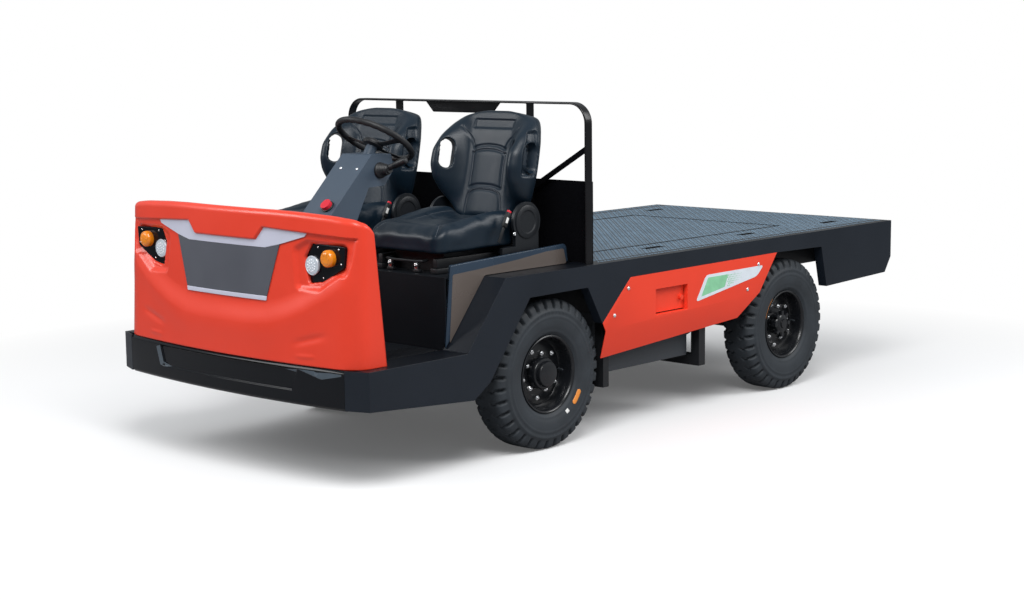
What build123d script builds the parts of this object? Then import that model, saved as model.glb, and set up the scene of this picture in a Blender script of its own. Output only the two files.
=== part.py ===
from build123d import *
import os
from math import cos, radians, sin

os.makedirs("parts", exist_ok=True)

# Millimetres. X is forward, Y to the left, Z up; the ground is z = 0.
NOSE_X = 1995.0
TAIL_X = -1995.0
HALF_W = 816.0
DECK_Z = 806.0
FRONT_AXLE_X = 782.0
REAR_AXLE_X = -1058.0

# Tyres and wheels.
TYRE_R = 338.0
TYRE_HALF = 94.0
RIM_R = 170.0
BEAD_R = 152.0
BARREL_R = 144.0
RIM_HALF = 76.0
WHEEL_IN = 130.0
WHEEL_Y = HALF_W - WHEEL_IN
AXLE_Z = TYRE_R
SPINDLE_R = 25.0
KINGPIN_IN = 66.0
KINGPIN_Y = WHEEL_Y - KINGPIN_IN
KINGPIN_R = 15.0
PIN_CLEAR = 0.5
EYE_R = 36.0
EYE_HALF = 45.0
STEER_ARM = 90.0
JOINT_GAP = 5.0
SEAT_GAP = 0.3

# Sheet and plate.
PLATE_T = 6.0
SHEET_T = 4.0
LIP = 50.0
LEDGE = 149.0
LEDGE_IN = HALF_W - LEDGE
DECK_LIP = 80.0
DECK_IN = HALF_W - DECK_LIP
TAIL_Z = 607.0
FENDER_X = 1113.0
STEP_X = 1348.0
FLOOR_Z = 505.0
SILL_Z = 512.0
SILL_X = 1908.0
BUMPER_IN = 103.0
BUMPER_Y = HALF_W - BUMPER_IN
BUMPER_Z = 345.0
BUMPER_END_X = 1947.0
GUARD_X = 526.0
TUBE_T = 10.0
TUBE_D = 46.0

# Upper edge of the battery bay in side view: its front corner, and both ends of its top.
BAY = ((480.0, 530.0), (274.0, 724.0), (-899.0, 730.0))
BAY_SLOPE = (BAY[1][1] - BAY[0][1]) / (BAY[0][0] - BAY[1][0])

# Frame rails and the battery.
RAIL_IN = 345.0
RAIL_OUT = 409.0
RAIL_TOP = 690.0
RAIL_LOW = 560.0
LOW_RAIL_TOP = FLOOR_Z - 10.0
LOW_RAIL_LOW = 375.0
WELD_GAP = 0.2
BATTERY_X0 = -300.0
BATTERY_X1 = 400.0
BATTERY_IN = 106.0
BATTERY_Y = HALF_W - BATTERY_IN
CRADLE_IN = 51.0
CRADLE_Y = HALF_W - CRADLE_IN
CROSS_IN = 56.0
CROSS_REACH = HALF_W - CROSS_IN
CRADLE_Z = 222.0
LEG_W = 50.0
BATTERY_Z0 = 275.0

# Seats.
SEAT_Y = 380.0
SEAT_BOX_X = 1329.0
SEAT_BOX_Z = 817.0
BACK_TILT = 12.0

# Steering wheel.
STEER_TILT = 32.5
STEER_X = 1446.0
STEER_Y = 380.0
STEER_Z = 1395.0
STEER_R = 166.0
STEER_RIM = 14.0
HUB_DROP = 34.0
steer_plane = Plane(
    origin=(STEER_X, STEER_Y, STEER_Z),
    x_dir=(0, 1, 0),
    z_dir=(-sin(radians(STEER_TILT)), 0, cos(radians(STEER_TILT))),
)


def side(y):
    """The plane of a side view at this y; an extrusion goes inboard from the left side."""
    return Plane.XZ.offset(-y)


def save(built, name):
    built.part.label = name
    export_step(built.part, f"parts/{name}.step")


def mirrored(built):
    with BuildPart() as other:
        add(mirror(built.part, about=Plane.XZ))
    return other


# Ladder frame: two rails that drop under the foot floor, each of three welded lengths.
# Columns: the rear bottom, front bottom, front top and rear top corner of a length, as x and z.
RAIL_LENGTHS = (
    ((TAIL_X + 35, RAIL_LOW), (1150.0, RAIL_LOW), (1190.0, RAIL_TOP), (TAIL_X + 35, RAIL_TOP)),
    (
        (1150.0 + WELD_GAP, RAIL_LOW),
        (1290.0, LOW_RAIL_LOW),
        (1312.0, LOW_RAIL_TOP),
        (1190.0 + WELD_GAP, RAIL_TOP),
    ),
    (
        (1290.0 + WELD_GAP, LOW_RAIL_LOW),
        (SILL_X, LOW_RAIL_LOW),
        (SILL_X, LOW_RAIL_TOP),
        (1312.0 + WELD_GAP, LOW_RAIL_TOP),
    ),
)
# Columns: x of the member, its width along x, bottom z, top z, half length in y.
CROSS_MEMBERS = (
    (-1900.0, 60.0, RAIL_LOW, RAIL_TOP, CROSS_REACH),
    (-1500.0, 60.0, RAIL_TOP + WELD_GAP, DECK_Z - PLATE_T, CROSS_REACH),
    (-620.0, 60.0, RAIL_TOP + WELD_GAP, DECK_Z - PLATE_T, CROSS_REACH),
    (-340.0, 50.0, RAIL_LOW, RAIL_TOP, CROSS_REACH),
    (392.0, 40.0, RAIL_LOW, RAIL_TOP, CROSS_REACH),
    (300.0, 60.0, RAIL_TOP + WELD_GAP, DECK_Z - PLATE_T, CROSS_REACH),
    (1120.0, 60.0, RAIL_LOW + 30, RAIL_TOP, RAIL_OUT),
    (1400.0, 60.0, LOW_RAIL_LOW, LOW_RAIL_TOP, LEDGE_IN),
    (1860.0, 50.0, LOW_RAIL_LOW, LOW_RAIL_TOP, LEDGE_IN),
)


def member_spans(low, reach):
    """Stretches of y that a member fills: one over the rails, or between and outside them."""
    if low > RAIL_TOP:
        return [(-reach, reach)]
    inner = RAIL_IN - WELD_GAP
    outer = RAIL_OUT + WELD_GAP
    spans = [(-inner, inner)]
    if reach > outer:
        spans += [(-reach, -outer), (outer, reach)]
    return spans


with BuildPart() as chassis_frame:
    for rail_y in (RAIL_OUT, -RAIL_IN):
        for corners in RAIL_LENGTHS:
            with BuildSketch(side(rail_y)):
                with BuildLine():
                    Polyline(*corners, close=True)
                make_face()
            extrude(amount=RAIL_OUT - RAIL_IN)
    for x, width, low, high, reach in CROSS_MEMBERS:
        for near, far in member_spans(low, reach):
            with Locations((x, (near + far) / 2, (low + high) / 2)):
                Box(width, far - near, high - low)
save(chassis_frame, "chassis_frame")

# Cradle: a bar under the battery at each end, with a leg up to the frame on either side.
# Columns: x of the front face, depth along x.
CRADLE_BARS = ((412.0, 40.0), (-315.0, 50.0))
with BuildPart() as battery_cradle:
    for front, depth in CRADLE_BARS:
        with BuildSketch(Plane.YZ.offset(front - depth)):
            with Locations((0, CRADLE_Z)):
                Rectangle(2 * CRADLE_Y, RAIL_LOW - CRADLE_Z, align=(Align.CENTER, Align.MIN))
            with Locations((0, BATTERY_Z0)):
                Rectangle(
                    2 * (CRADLE_Y - LEG_W),
                    RAIL_LOW - BATTERY_Z0,
                    align=(Align.CENTER, Align.MIN),
                    mode=Mode.SUBTRACT,
                )
        extrude(amount=depth)
save(battery_cradle, "battery_cradle")

with BuildPart() as battery_pack:
    with Locations(((BATTERY_X0 + BATTERY_X1) / 2, 0, (BATTERY_Z0 + RAIL_LOW) / 2)):
        Box(BATTERY_X1 - BATTERY_X0, 2 * BATTERY_Y, RAIL_LOW - BATTERY_Z0)
    chamfer(battery_pack.edges().filter_by(Axis.Z), 12)
save(battery_pack, "battery_pack")


def side_outline(y, inset):
    """Side view of the body side: deck edge, fender, slope and sill, less both arches."""
    with BuildSketch(side(y)) as outline:
        with BuildLine():
            Polyline(
                (TAIL_X, DECK_Z),
                (FENDER_X, DECK_Z),
                (STEP_X, SILL_Z),
                (SILL_X, SILL_Z),
                (SILL_X, BUMPER_Z + 5),
                (1313, 308),
                (-1358, 508),
                (-1937, 525),
                (TAIL_X, TAIL_Z),
                close=True,
            )
        make_face()
        with BuildLine():
            Polyline(
                (1330, 297),
                (1214, 372),
                (960, 705),
                (576, 708),
                (476, 533),
                (476, 150),
                (1330, 150),
                close=True,
            )
        make_face(mode=Mode.SUBTRACT)
        with BuildLine():
            Polyline(
                *BAY,
                (-1304, 722),
                (-1358, 508),
                (-1358, 150),
                (480, 150),
                close=True,
            )
        make_face(mode=Mode.SUBTRACT)
        if inset:
            offset(amount=-inset, kind=Kind.INTERSECTION, mode=Mode.REPLACE)
    return outline.sketch


with BuildPart() as side_frame_left:
    extrude(side_outline(HALF_W, 0), amount=LIP, dir=(0, -1, 0))
    extrude(side_outline(HALF_W - PLATE_T, PLATE_T), amount=LIP, dir=(0, -1, 0), mode=Mode.SUBTRACT)
    with BuildSketch(side(HALF_W)):
        with BuildLine():
            Polyline(
                (GUARD_X - TUBE_D / 2 - 3, DECK_Z),
                (FENDER_X, DECK_Z),
                (STEP_X, SILL_Z),
                (SILL_X, SILL_Z),
                (SILL_X, SILL_Z - PLATE_T),
                (STEP_X - 3, SILL_Z - PLATE_T),
                (FENDER_X - 3, DECK_Z - PLATE_T),
                (GUARD_X - TUBE_D / 2 - 3, DECK_Z - PLATE_T),
                close=True,
            )
        make_face()
    extrude(amount=LEDGE)
    with BuildSketch(Plane.XY.offset(DECK_Z - PLATE_T)):
        with Locations((TAIL_X, DECK_IN)):
            Rectangle(GUARD_X - TAIL_X, HALF_W - DECK_IN, align=Align.MIN)
    extrude(amount=PLATE_T)
    with BuildSketch(Plane.XY.offset(BUMPER_Z + 5)):
        with BuildLine():
            Polyline(
                (SILL_X - 8, HALF_W - PLATE_T),
                (SILL_X, HALF_W),
                (BUMPER_END_X, BUMPER_Y),
                (BUMPER_END_X - 8, BUMPER_Y),
                close=True,
            )
        make_face()
    extrude(amount=SILL_Z - BUMPER_Z - 5)
save(side_frame_left, "side_frame_left")
side_frame_right = mirrored(side_frame_left)
save(side_frame_right, "side_frame_right")

# Load deck: a fixed surround with tie-down slots, and a lift-out cover over the battery.
COVER_Y = 500.0
COVER_X0 = -1378.0
COVER_GAP = 3.0
DECK_X1 = GUARD_X - TUBE_D / 2 - SHEET_T - SEAT_GAP
SLOT_IN = 216.0
SLOT_Y = HALF_W - SLOT_IN
SLOT_X = (-160.0, -930.0, -1700.0)
SLOT_L = 95.0
SLOT_W = 24.0
with BuildPart() as deck_surround:
    with BuildSketch(Plane.XY.offset(DECK_Z - PLATE_T)):
        with Locations((TAIL_X, 0)):
            Rectangle(DECK_X1 - TAIL_X, 2 * DECK_IN, align=(Align.MIN, Align.CENTER))
        with Locations((COVER_X0 - COVER_GAP, 0)):
            Rectangle(
                DECK_X1 - COVER_X0 + COVER_GAP,
                2 * (COVER_Y + COVER_GAP),
                align=(Align.MIN, Align.CENTER),
                mode=Mode.SUBTRACT,
            )
        for slot_x in SLOT_X:
            with Locations((slot_x, SLOT_Y), (slot_x, -SLOT_Y)):
                SlotOverall(SLOT_L, SLOT_W, mode=Mode.SUBTRACT)
    extrude(amount=PLATE_T)
save(deck_surround, "deck_surround")

with BuildPart() as deck_cover:
    with BuildSketch(Plane.XY.offset(DECK_Z - PLATE_T)):
        with Locations((COVER_X0, 0)):
            Rectangle(DECK_X1 - COVER_X0, 2 * COVER_Y, align=(Align.MIN, Align.CENTER))
    extrude(amount=PLATE_T)
save(deck_cover, "deck_cover")

# Tail plate across the back, with a lamp cluster on either side.
LAMP_IN = 176.0
LAMP_Y = HALF_W - LAMP_IN
LAMP_Z = 740.0
LAMP_W = 170.0
LAMP_H = 80.0
LAMP_R = 14.0
with BuildPart() as tail_plate:
    with BuildSketch(Plane.YZ.offset(TAIL_X)):
        with Locations((0, TAIL_Z)):
            Rectangle(2 * (HALF_W - LIP), DECK_Z - PLATE_T - TAIL_Z, align=(Align.CENTER, Align.MIN))
        with Locations((LAMP_Y, LAMP_Z), (-LAMP_Y, LAMP_Z)):
            RectangleRounded(LAMP_W, LAMP_H, LAMP_R, mode=Mode.SUBTRACT)
    extrude(amount=PLATE_T)
save(tail_plate, "tail_plate")

with BuildPart() as tail_lamps:
    with BuildSketch(Plane.YZ.offset(TAIL_X)):
        with Locations((LAMP_Y, LAMP_Z), (-LAMP_Y, LAMP_Z)):
            RectangleRounded(LAMP_W - 1, LAMP_H - 1, LAMP_R - 0.5)
    extrude(amount=26)
save(tail_lamps, "tail_lamps")

# Red side covers of the battery bay: an upright face and a lower facet that leans in.
CREASE_X = 452.0
CREASE_Z = 495.0
CREASE_RISE = 47.0 / 1202.0
FACET_IN = 38.0
FACET_DROP = 145.0
HATCH_X0 = -160.0
HATCH_X1 = 92.0
HATCH_Z0 = 522.0
HATCH_Z1 = 652.0
HATCH_IN = 24.0
HATCH_DEEP = 36.0
HATCH_GAP = 6.0


def side_cover(with_hatch):
    """A left-hand cover, cut from a creased sheet by its outline in side view."""
    with BuildPart() as cover:
        crease = Plane(
            origin=(CREASE_X + 40, HALF_W, CREASE_Z - 40 * CREASE_RISE),
            x_dir=(0, 1, 0),
            z_dir=(-1, 0, CREASE_RISE),
        )
        with BuildSketch(crease):
            with BuildLine():
                Polyline(
                    (0, -300),
                    (0, 0),
                    (-FACET_IN, FACET_DROP),
                    (-FACET_IN - SHEET_T, FACET_DROP - 1),
                    (-SHEET_T, 0),
                    (-SHEET_T, -300),
                    close=True,
                )
            make_face()
        extrude(amount=1500)
        with BuildSketch(side(HALF_W)):
            with BuildLine():
                Polyline(
                    BAY[1],
                    (474, BAY[0][1] + (BAY[0][0] - 474) * BAY_SLOPE),
                    (CREASE_X, CREASE_Z),
                    (450, 366),
                    (-600, 428),
                    (-750, 542),
                    BAY[2],
                    close=True,
                )
            make_face()
        extrude(amount=100, mode=Mode.INTERSECT)
        if with_hatch:
            with BuildSketch(side(HALF_W)):
                with BuildLine():
                    Polyline(
                        (HATCH_X0, HATCH_Z0),
                        (HATCH_X1, HATCH_Z0),
                        (HATCH_X1, HATCH_Z1),
                        (HATCH_X0, HATCH_Z1),
                        close=True,
                    )
                make_face()
            extrude(amount=HATCH_DEEP)
            with BuildSketch(side(HALF_W)):
                with Locations(((HATCH_X0 + HATCH_X1) / 2, (HATCH_Z0 + HATCH_Z1) / 2)):
                    Rectangle(
                        HATCH_X1 - HATCH_X0 - 2 * SHEET_T,
                        HATCH_Z1 - HATCH_Z0 - 2 * SHEET_T,
                    )
            extrude(amount=HATCH_DEEP, mode=Mode.SUBTRACT)
    return cover


side_cover_left = side_cover(True)
save(side_cover_left, "side_cover_left")
side_cover_right = mirrored(side_cover(False))
save(side_cover_right, "side_cover_right")

# Charging hatch: a small door set back in the left cover, hinged along its front edge.
DOOR_X1 = HATCH_X1 - SHEET_T - HATCH_GAP
DOOR_X0 = HATCH_X0 + SHEET_T + HATCH_GAP
DOOR_Z0 = HATCH_Z0 + SHEET_T + HATCH_GAP
DOOR_Z1 = HATCH_Z1 - SHEET_T - HATCH_GAP
DOOR_Y = HALF_W - HATCH_IN
with BuildPart() as charge_hatch:
    with BuildSketch(side(DOOR_Y)):
        with Locations(((DOOR_X0 + DOOR_X1) / 2, (DOOR_Z0 + DOOR_Z1) / 2)):
            Rectangle(DOOR_X1 - DOOR_X0, DOOR_Z1 - DOOR_Z0)
    extrude(amount=SHEET_T)
    with BuildSketch(side(DOOR_Y)):
        with Locations((DOOR_X0 + 26, (DOOR_Z0 + DOOR_Z1) / 2)):
            Circle(12)
    extrude(amount=-14)
    with BuildSketch(Plane.XY.offset(HATCH_Z0 + SHEET_T + SEAT_GAP)):
        with Locations((DOOR_X1, DOOR_Y)):
            Circle(5)
    extrude(amount=HATCH_Z1 - HATCH_Z0 - 2 * SHEET_T - 2 * SEAT_GAP)
save(charge_hatch, "charge_hatch")

with BuildPart() as charge_socket:
    with BuildSketch(side(HALF_W - HATCH_DEEP)):
        with Locations(((HATCH_X0 + HATCH_X1) / 2, (HATCH_Z0 + HATCH_Z1) / 2)):
            Rectangle(HATCH_X1 - HATCH_X0, HATCH_Z1 - HATCH_Z0)
    extrude(amount=SHEET_T)
    with BuildSketch(side(HALF_W - HATCH_DEEP - SHEET_T)):
        with Locations(((HATCH_X0 + HATCH_X1) / 2, (HATCH_Z0 + HATCH_Z1) / 2)):
            Rectangle(150, 80)
    extrude(amount=50)
save(charge_socket, "charge_socket")

# Foot floor, and the box under the seats with its moulded side trims.
FLOOR_T = 10.0
FLOOR_X1 = 1885.0
with BuildPart() as floor_plate:
    with BuildSketch(Plane.XY.offset(FLOOR_Z - FLOOR_T)):
        with Locations((SEAT_BOX_X - 15, 0)):
            Rectangle(FLOOR_X1 - SEAT_BOX_X + 15, 2 * LEDGE_IN, align=(Align.MIN, Align.CENTER))
    extrude(amount=FLOOR_T)
save(floor_plate, "floor_plate")

BOX_T = 10.0
BOX_X0 = 560.0
with BuildPart() as seat_box:
    with BuildSketch(side(LEDGE_IN)):
        with BuildLine():
            Polyline(
                (SEAT_BOX_X - BOX_T, FLOOR_Z),
                (SEAT_BOX_X, FLOOR_Z),
                (SEAT_BOX_X, SEAT_BOX_Z),
                (BOX_X0, SEAT_BOX_Z),
                (BOX_X0, SEAT_BOX_Z - BOX_T),
                (SEAT_BOX_X - BOX_T, SEAT_BOX_Z - BOX_T),
                close=True,
            )
        make_face()
    extrude(amount=2 * LEDGE_IN)
save(seat_box, "seat_box")

TRIM_T = 24.0
with BuildPart() as seat_box_trims:
    for trim_y in (LEDGE_IN + TRIM_T, -LEDGE_IN):
        with BuildSketch(side(trim_y)):
            with BuildLine():
                Polyline(
                    (FENDER_X, DECK_Z),
                    (STEP_X, SILL_Z),
                    (1312, 870),
                    (578, 898),
                    (BOX_X0, DECK_Z),
                    close=True,
                )
            make_face()
        extrude(amount=TRIM_T)
save(seat_box_trims, "seat_box_trims")

# Front cowl: a lofted shell, open behind and below, with a recessed face.
# Columns: z, rear edge x, half width, corner start x, corner end x, corner end y, nose x.
COWL_CORNER = HALF_W - 161.0
COWL_LOW = (SILL_Z, 1767.0, HALF_W - 46, 1846.0, 1946.0, COWL_CORNER, 1992.0)
COWL_TOP = (1118.0, 1812.0, HALF_W - 64, 1838.0, 1914.0, COWL_CORNER, 1968.0)
COWL_T = 6.0
FACE_DEPTH = 14.0


def cowl_section(row, inset, back):
    z, back_x, half, turn_x, front_x, front_y, nose_x = row
    with BuildSketch(Plane.XY.offset(z)) as section:
        with BuildLine():
            Polyline(
                (turn_x, half - inset),
                (back_x - back, half - inset),
                (back_x - back, inset - half),
                (turn_x, inset - half),
            )
            TangentArc((turn_x, half - inset), (front_x - inset, front_y), tangent=(1, 0))
            TangentArc((turn_x, inset - half), (front_x - inset, -front_y), tangent=(1, 0))
            ThreePointArc(
                (front_x - inset, -front_y), (nose_x - inset, 0), (front_x - inset, front_y)
            )
        make_face()
    return section.sketch


def cowl_body(inset, back, top_drop):
    with BuildPart() as body:
        loft([cowl_section(COWL_LOW, inset, back), cowl_section(COWL_TOP, inset, back)])
        if top_drop:
            split(bisect_by=Plane.XY.offset(COWL_TOP[0] - top_drop), keep=Keep.BOTTOM)
    return body.part


# Half of the recessed face in front view, from the centre line up and round to it again.
FACE_HALF = (
    (0.0, 668.0),
    (268.0, 672.0),
    (HALF_W - 216, 792.0),
    (HALF_W - 114, 862.0),
    (HALF_W - 100, 1000.0),
    (HALF_W - 116, 1044.0),
    (246.0, 1060.0),
    (199.0, 1007.0),
    (0.0, 1007.0),
)
# Half of each lamp bezel: corners in front view, y outwards and z.
BEZEL = (
    (HALF_W - 354, 960.0),
    (HALF_W - 332, 838.0),
    (HALF_W - 256, 850.0),
    (HALF_W - 134, 916.0),
    (HALF_W - 126, 1000.0),
    (HALF_W - 316, 1004.0),
)
BEZEL_X0 = 1880.0
BEZEL_X1 = 1908.0
face_body = cowl_body(FACE_DEPTH, 0, 0)
with BuildPart() as front_cowl:
    add(cowl_body(0, 0, 0))
    fillet(front_cowl.faces().sort_by(Axis.Z)[-1].edges().sort_by(Axis.X)[1:], 22)
    with BuildSketch(Plane.YZ.offset(1700)) as face_window:
        with BuildLine():
            Polyline(*FACE_HALF)
            mirror(about=Plane.YZ)
        make_face()
    face_prism = extrude(amount=400, mode=Mode.PRIVATE)
    add(face_prism - face_body, mode=Mode.SUBTRACT)
    add(cowl_body(FACE_DEPTH + COWL_T, 300, 14), mode=Mode.SUBTRACT)
    for turn in (1, -1):
        with BuildSketch(Plane.YZ.offset(BEZEL_X0)):
            with BuildLine():
                Polyline(*((turn * y, z) for y, z in BEZEL), close=True)
            make_face()
        extrude(amount=200, mode=Mode.SUBTRACT)
save(front_cowl, "front_cowl")

# Lamps: a black bezel through the cowl on either side, a lens and a turn signal on it.
LENS = (HALF_W - 313, 915.0, 39.0)
SIGNAL = (HALF_W - 212, 950.0, 35.0)
with BuildPart() as lamp_bezels:
    for turn in (1, -1):
        with BuildSketch(Plane.YZ.offset(BEZEL_X0)):
            with BuildLine():
                Polyline(*((turn * y, z) for y, z in BEZEL), close=True)
            make_face()
        extrude(amount=BEZEL_X1 - BEZEL_X0)
save(lamp_bezels, "lamp_bezels")

with BuildPart() as headlamps:
    with BuildSketch(Plane.YZ.offset(BEZEL_X1)):
        with Locations((LENS[0], LENS[1]), (-LENS[0], LENS[1])):
            Circle(LENS[2])
    extrude(amount=14)
save(headlamps, "headlamps")

with BuildPart() as turn_signals:
    with BuildSketch(Plane.YZ.offset(BEZEL_X1)):
        with Locations((SIGNAL[0], SIGNAL[1]), (-SIGNAL[0], SIGNAL[1])):
            Circle(SIGNAL[2])
    extrude(amount=30)
    fillet(turn_signals.faces().sort_by(Axis.X)[-2:].edges(), 8)
save(turn_signals, "turn_signals")

# Bright strip and grey panel on the recessed face, each following its curve.
STRIP_T = 4.0
PANEL_T = 3.0
PANEL_HALF = ((0.0, 974.0), (253.0, 974.0), (338.0, 992.0), (266.0, 774.0), (0.0, 774.0))
STRIP_HALF = (
    (0.0, 1007.0),
    (199.0, 1007.0),
    (246.0, 1058.0),
    (492.0, 1050.0),
    (476.0, 1030.0),
    (338.0, 992.0),
    (253.0, 974.0),
    (0.0, 974.0),
)
FOOT_HALF = ((0.0, 774.0), (266.0, 774.0), (262.0, 756.0), (0.0, 756.0))


def face_plate(half, thick):
    """A plate on the recessed face, cut to half an outline and its mirror image."""
    with BuildPart() as plate:
        with BuildSketch(Plane.YZ.offset(1700)):
            with BuildLine():
                Polyline(*half)
                mirror(about=Plane.YZ)
            make_face()
        extrude(amount=400)
        add(cowl_body(FACE_DEPTH - thick, 0, 0), mode=Mode.INTERSECT)
        add(face_body, mode=Mode.SUBTRACT)
    return plate.part


with BuildPart() as cowl_panel:
    add(face_plate(PANEL_HALF, PANEL_T))
save(cowl_panel, "cowl_panel")

with BuildPart() as cowl_strips:
    for half in (STRIP_HALF, FOOT_HALF):
        add(face_plate(half, STRIP_T))
save(cowl_strips, "cowl_strips")

# Bumper: a bowed bar between the sills, its edges bevelled, with a recessed panel.
PANEL_DEPTH = 6.0
BUMPER_PANEL = ((0.0, 406.0), (425.0, 406.0), (458.0, 494.0), (0.0, 494.0))


def bumper_body(inset):
    with BuildPart() as body:
        with BuildSketch(Plane.XY.offset(BUMPER_Z)):
            with BuildLine():
                ThreePointArc(
                    (BUMPER_END_X - inset, BUMPER_Y),
                    (NOSE_X - inset, 0),
                    (BUMPER_END_X - inset, -BUMPER_Y),
                )
                Polyline(
                    (BUMPER_END_X - inset, BUMPER_Y),
                    (SILL_X, BUMPER_Y),
                    (SILL_X, -BUMPER_Y),
                    (BUMPER_END_X - inset, -BUMPER_Y),
                )
            make_face()
        extrude(amount=SILL_Z - BUMPER_Z)
    return body.part


with BuildPart() as front_bumper:
    add(bumper_body(0))
    chamfer(front_bumper.edges().filter_by(GeomType.CIRCLE), 12)
    with BuildSketch(Plane.YZ.offset(SILL_X)):
        with BuildLine():
            Polyline(*BUMPER_PANEL)
            mirror(about=Plane.YZ)
        make_face()
    panel_prism = extrude(amount=200, mode=Mode.PRIVATE)
    add(panel_prism - bumper_body(PANEL_DEPTH), mode=Mode.SUBTRACT)
save(front_bumper, "front_bumper")

# Steering column cover, from the floor behind the cowl up to the wheel.
COLUMN_HALF = 90.0
with BuildPart() as steering_column:
    with BuildSketch(side(STEER_Y + COLUMN_HALF)):
        with BuildLine():
            Polyline(
                (1680, FLOOR_Z),
                (1760, FLOOR_Z),
                (1795, 1090),
                (1552, 1338),
                (1440, 1338),
                (1425, 1275),
                (1478, 1208),
                (1570, 1204),
                (1640, 1070),
                (1675, 980),
                close=True,
            )
        make_face()
    extrude(amount=2 * COLUMN_HALF)
    with BuildSketch(steer_plane.offset(-HUB_DROP - SEAT_GAP)):
        Circle(24)
    extrude(amount=-80)
save(steering_column, "steering_column")

# Steering wheel: rim, dished spokes and a boss.
with BuildPart() as steering_wheel:
    with BuildSketch(Plane(origin=steer_plane.origin, x_dir=steer_plane.x_dir, z_dir=steer_plane.y_dir)):
        with Locations((STEER_R, 0)):
            Circle(STEER_RIM)
    revolve(axis=Axis(steer_plane.origin, steer_plane.z_dir))
    with BuildSketch(steer_plane.offset(-HUB_DROP)):
        Circle(44)
        for angle in (0, 180, 270):
            with PolarLocations(0, 1, start_angle=angle):
                Rectangle(STEER_R, 34, align=(Align.MIN, Align.CENTER))
    extrude(amount=HUB_DROP - 6)
save(steering_wheel, "steering_wheel")

# Hand controls on the column and the pedals under it.
LEVER_AT = (1505.0, 1272.0)
with BuildPart() as driver_controls:
    with BuildSketch(side(STEER_Y + COLUMN_HALF)):
        with Locations(LEVER_AT):
            Circle(30)
    extrude(amount=-52, taper=14)
    lever_foot = (LEVER_AT[0], STEER_Y + COLUMN_HALF + 20, LEVER_AT[1])
    with BuildSketch(Plane(origin=lever_foot, z_dir=(-0.19, 1, 0.4))):
        Circle(13)
    extrude(amount=125)
    for pedal_y in (STEER_Y - 160, STEER_Y + 150):
        with BuildSketch(side(pedal_y + 40)):
            with BuildLine():
                Polyline(
                    (1690, FLOOR_Z),
                    (1740, FLOOR_Z),
                    (1740, 560),
                    (1690, 620),
                    (1676, 612),
                    (1706, 560),
                    close=True,
                )
            make_face()
        extrude(amount=80)
save(driver_controls, "driver_controls")

with BuildPart() as stop_button:
    with BuildSketch(Plane(origin=(1752, STEER_Y + 40, 1133.9), x_dir=(0, 1, 0), z_dir=(1, 0, 0.98))):
        Circle(24)
    extrude(amount=22)
save(stop_button, "stop_button")

# Guard behind the seats: a bent tube hoop, two uprights, a hung plate and corner braces.
HOOP_IN = 33.0
HOOP_OUT = HALF_W - HOOP_IN
HOOP_TOP = 1528.0
BEND_R = 95.0
UPRIGHT_Y = 430.0
HUNG_TOP = HOOP_TOP - TUBE_T / 2
HUNG_LOW = HOOP_TOP - 59
BRACE_TOP = HOOP_TOP - 186
BRACE_LOW = HOOP_TOP - 380
BRACE_W = 30.0
with BuildPart() as guard_frame:
    with BuildSketch(Plane.YZ.offset(GUARD_X - TUBE_D / 2)):
        with Locations((0, DECK_Z)):
            Rectangle(2 * HOOP_OUT, HOOP_TOP - DECK_Z, align=(Align.CENTER, Align.MIN))
        fillet(vertices().group_by(Axis.Y)[-1], BEND_R)
    extrude(amount=TUBE_D)
    with BuildSketch(Plane.YZ.offset(GUARD_X - TUBE_D / 2)):
        with Locations((0, DECK_Z)):
            Rectangle(
                2 * (HOOP_OUT - TUBE_T), HOOP_TOP - TUBE_T - DECK_Z, align=(Align.CENTER, Align.MIN)
            )
        fillet(vertices().group_by(Axis.Y)[-1], BEND_R - TUBE_T)
    extrude(amount=TUBE_D, mode=Mode.SUBTRACT)
    with BuildSketch(Plane.YZ.offset(GUARD_X - TUBE_D / 2)):
        with Locations((UPRIGHT_Y, DECK_Z), (-UPRIGHT_Y, DECK_Z)):
            Rectangle(TUBE_T, HOOP_TOP - DECK_Z - TUBE_T / 2, align=(Align.CENTER, Align.MIN))
    extrude(amount=TUBE_D)
    with BuildSketch(Plane.YZ.offset(GUARD_X - 3)):
        with BuildLine():
            Polyline((-250, HUNG_TOP), (250, HUNG_TOP), (196, HUNG_LOW), (-196, HUNG_LOW), close=True)
        make_face()
        for turn in (1, -1):
            with BuildLine():
                Polyline(
                    (turn * (HOOP_OUT - TUBE_T + 3), BRACE_TOP),
                    (turn * (HOOP_OUT - TUBE_T + 3), BRACE_TOP - BRACE_W),
                    (turn * (UPRIGHT_Y + 10), BRACE_LOW - BRACE_W),
                    (turn * (UPRIGHT_Y + 10), BRACE_LOW),
                    close=True,
                )
            make_face()
    extrude(amount=PLATE_T)
save(guard_frame, "guard_frame")

with BuildPart() as headboard:
    with BuildSketch(Plane.YZ.offset(GUARD_X - TUBE_D / 2 - SHEET_T)):
        with Locations((0, DECK_Z)):
            Rectangle(2 * HOOP_OUT, 1175 - DECK_Z, align=(Align.CENTER, Align.MIN))
    extrude(amount=SHEET_T)
save(headboard, "headboard")

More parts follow.
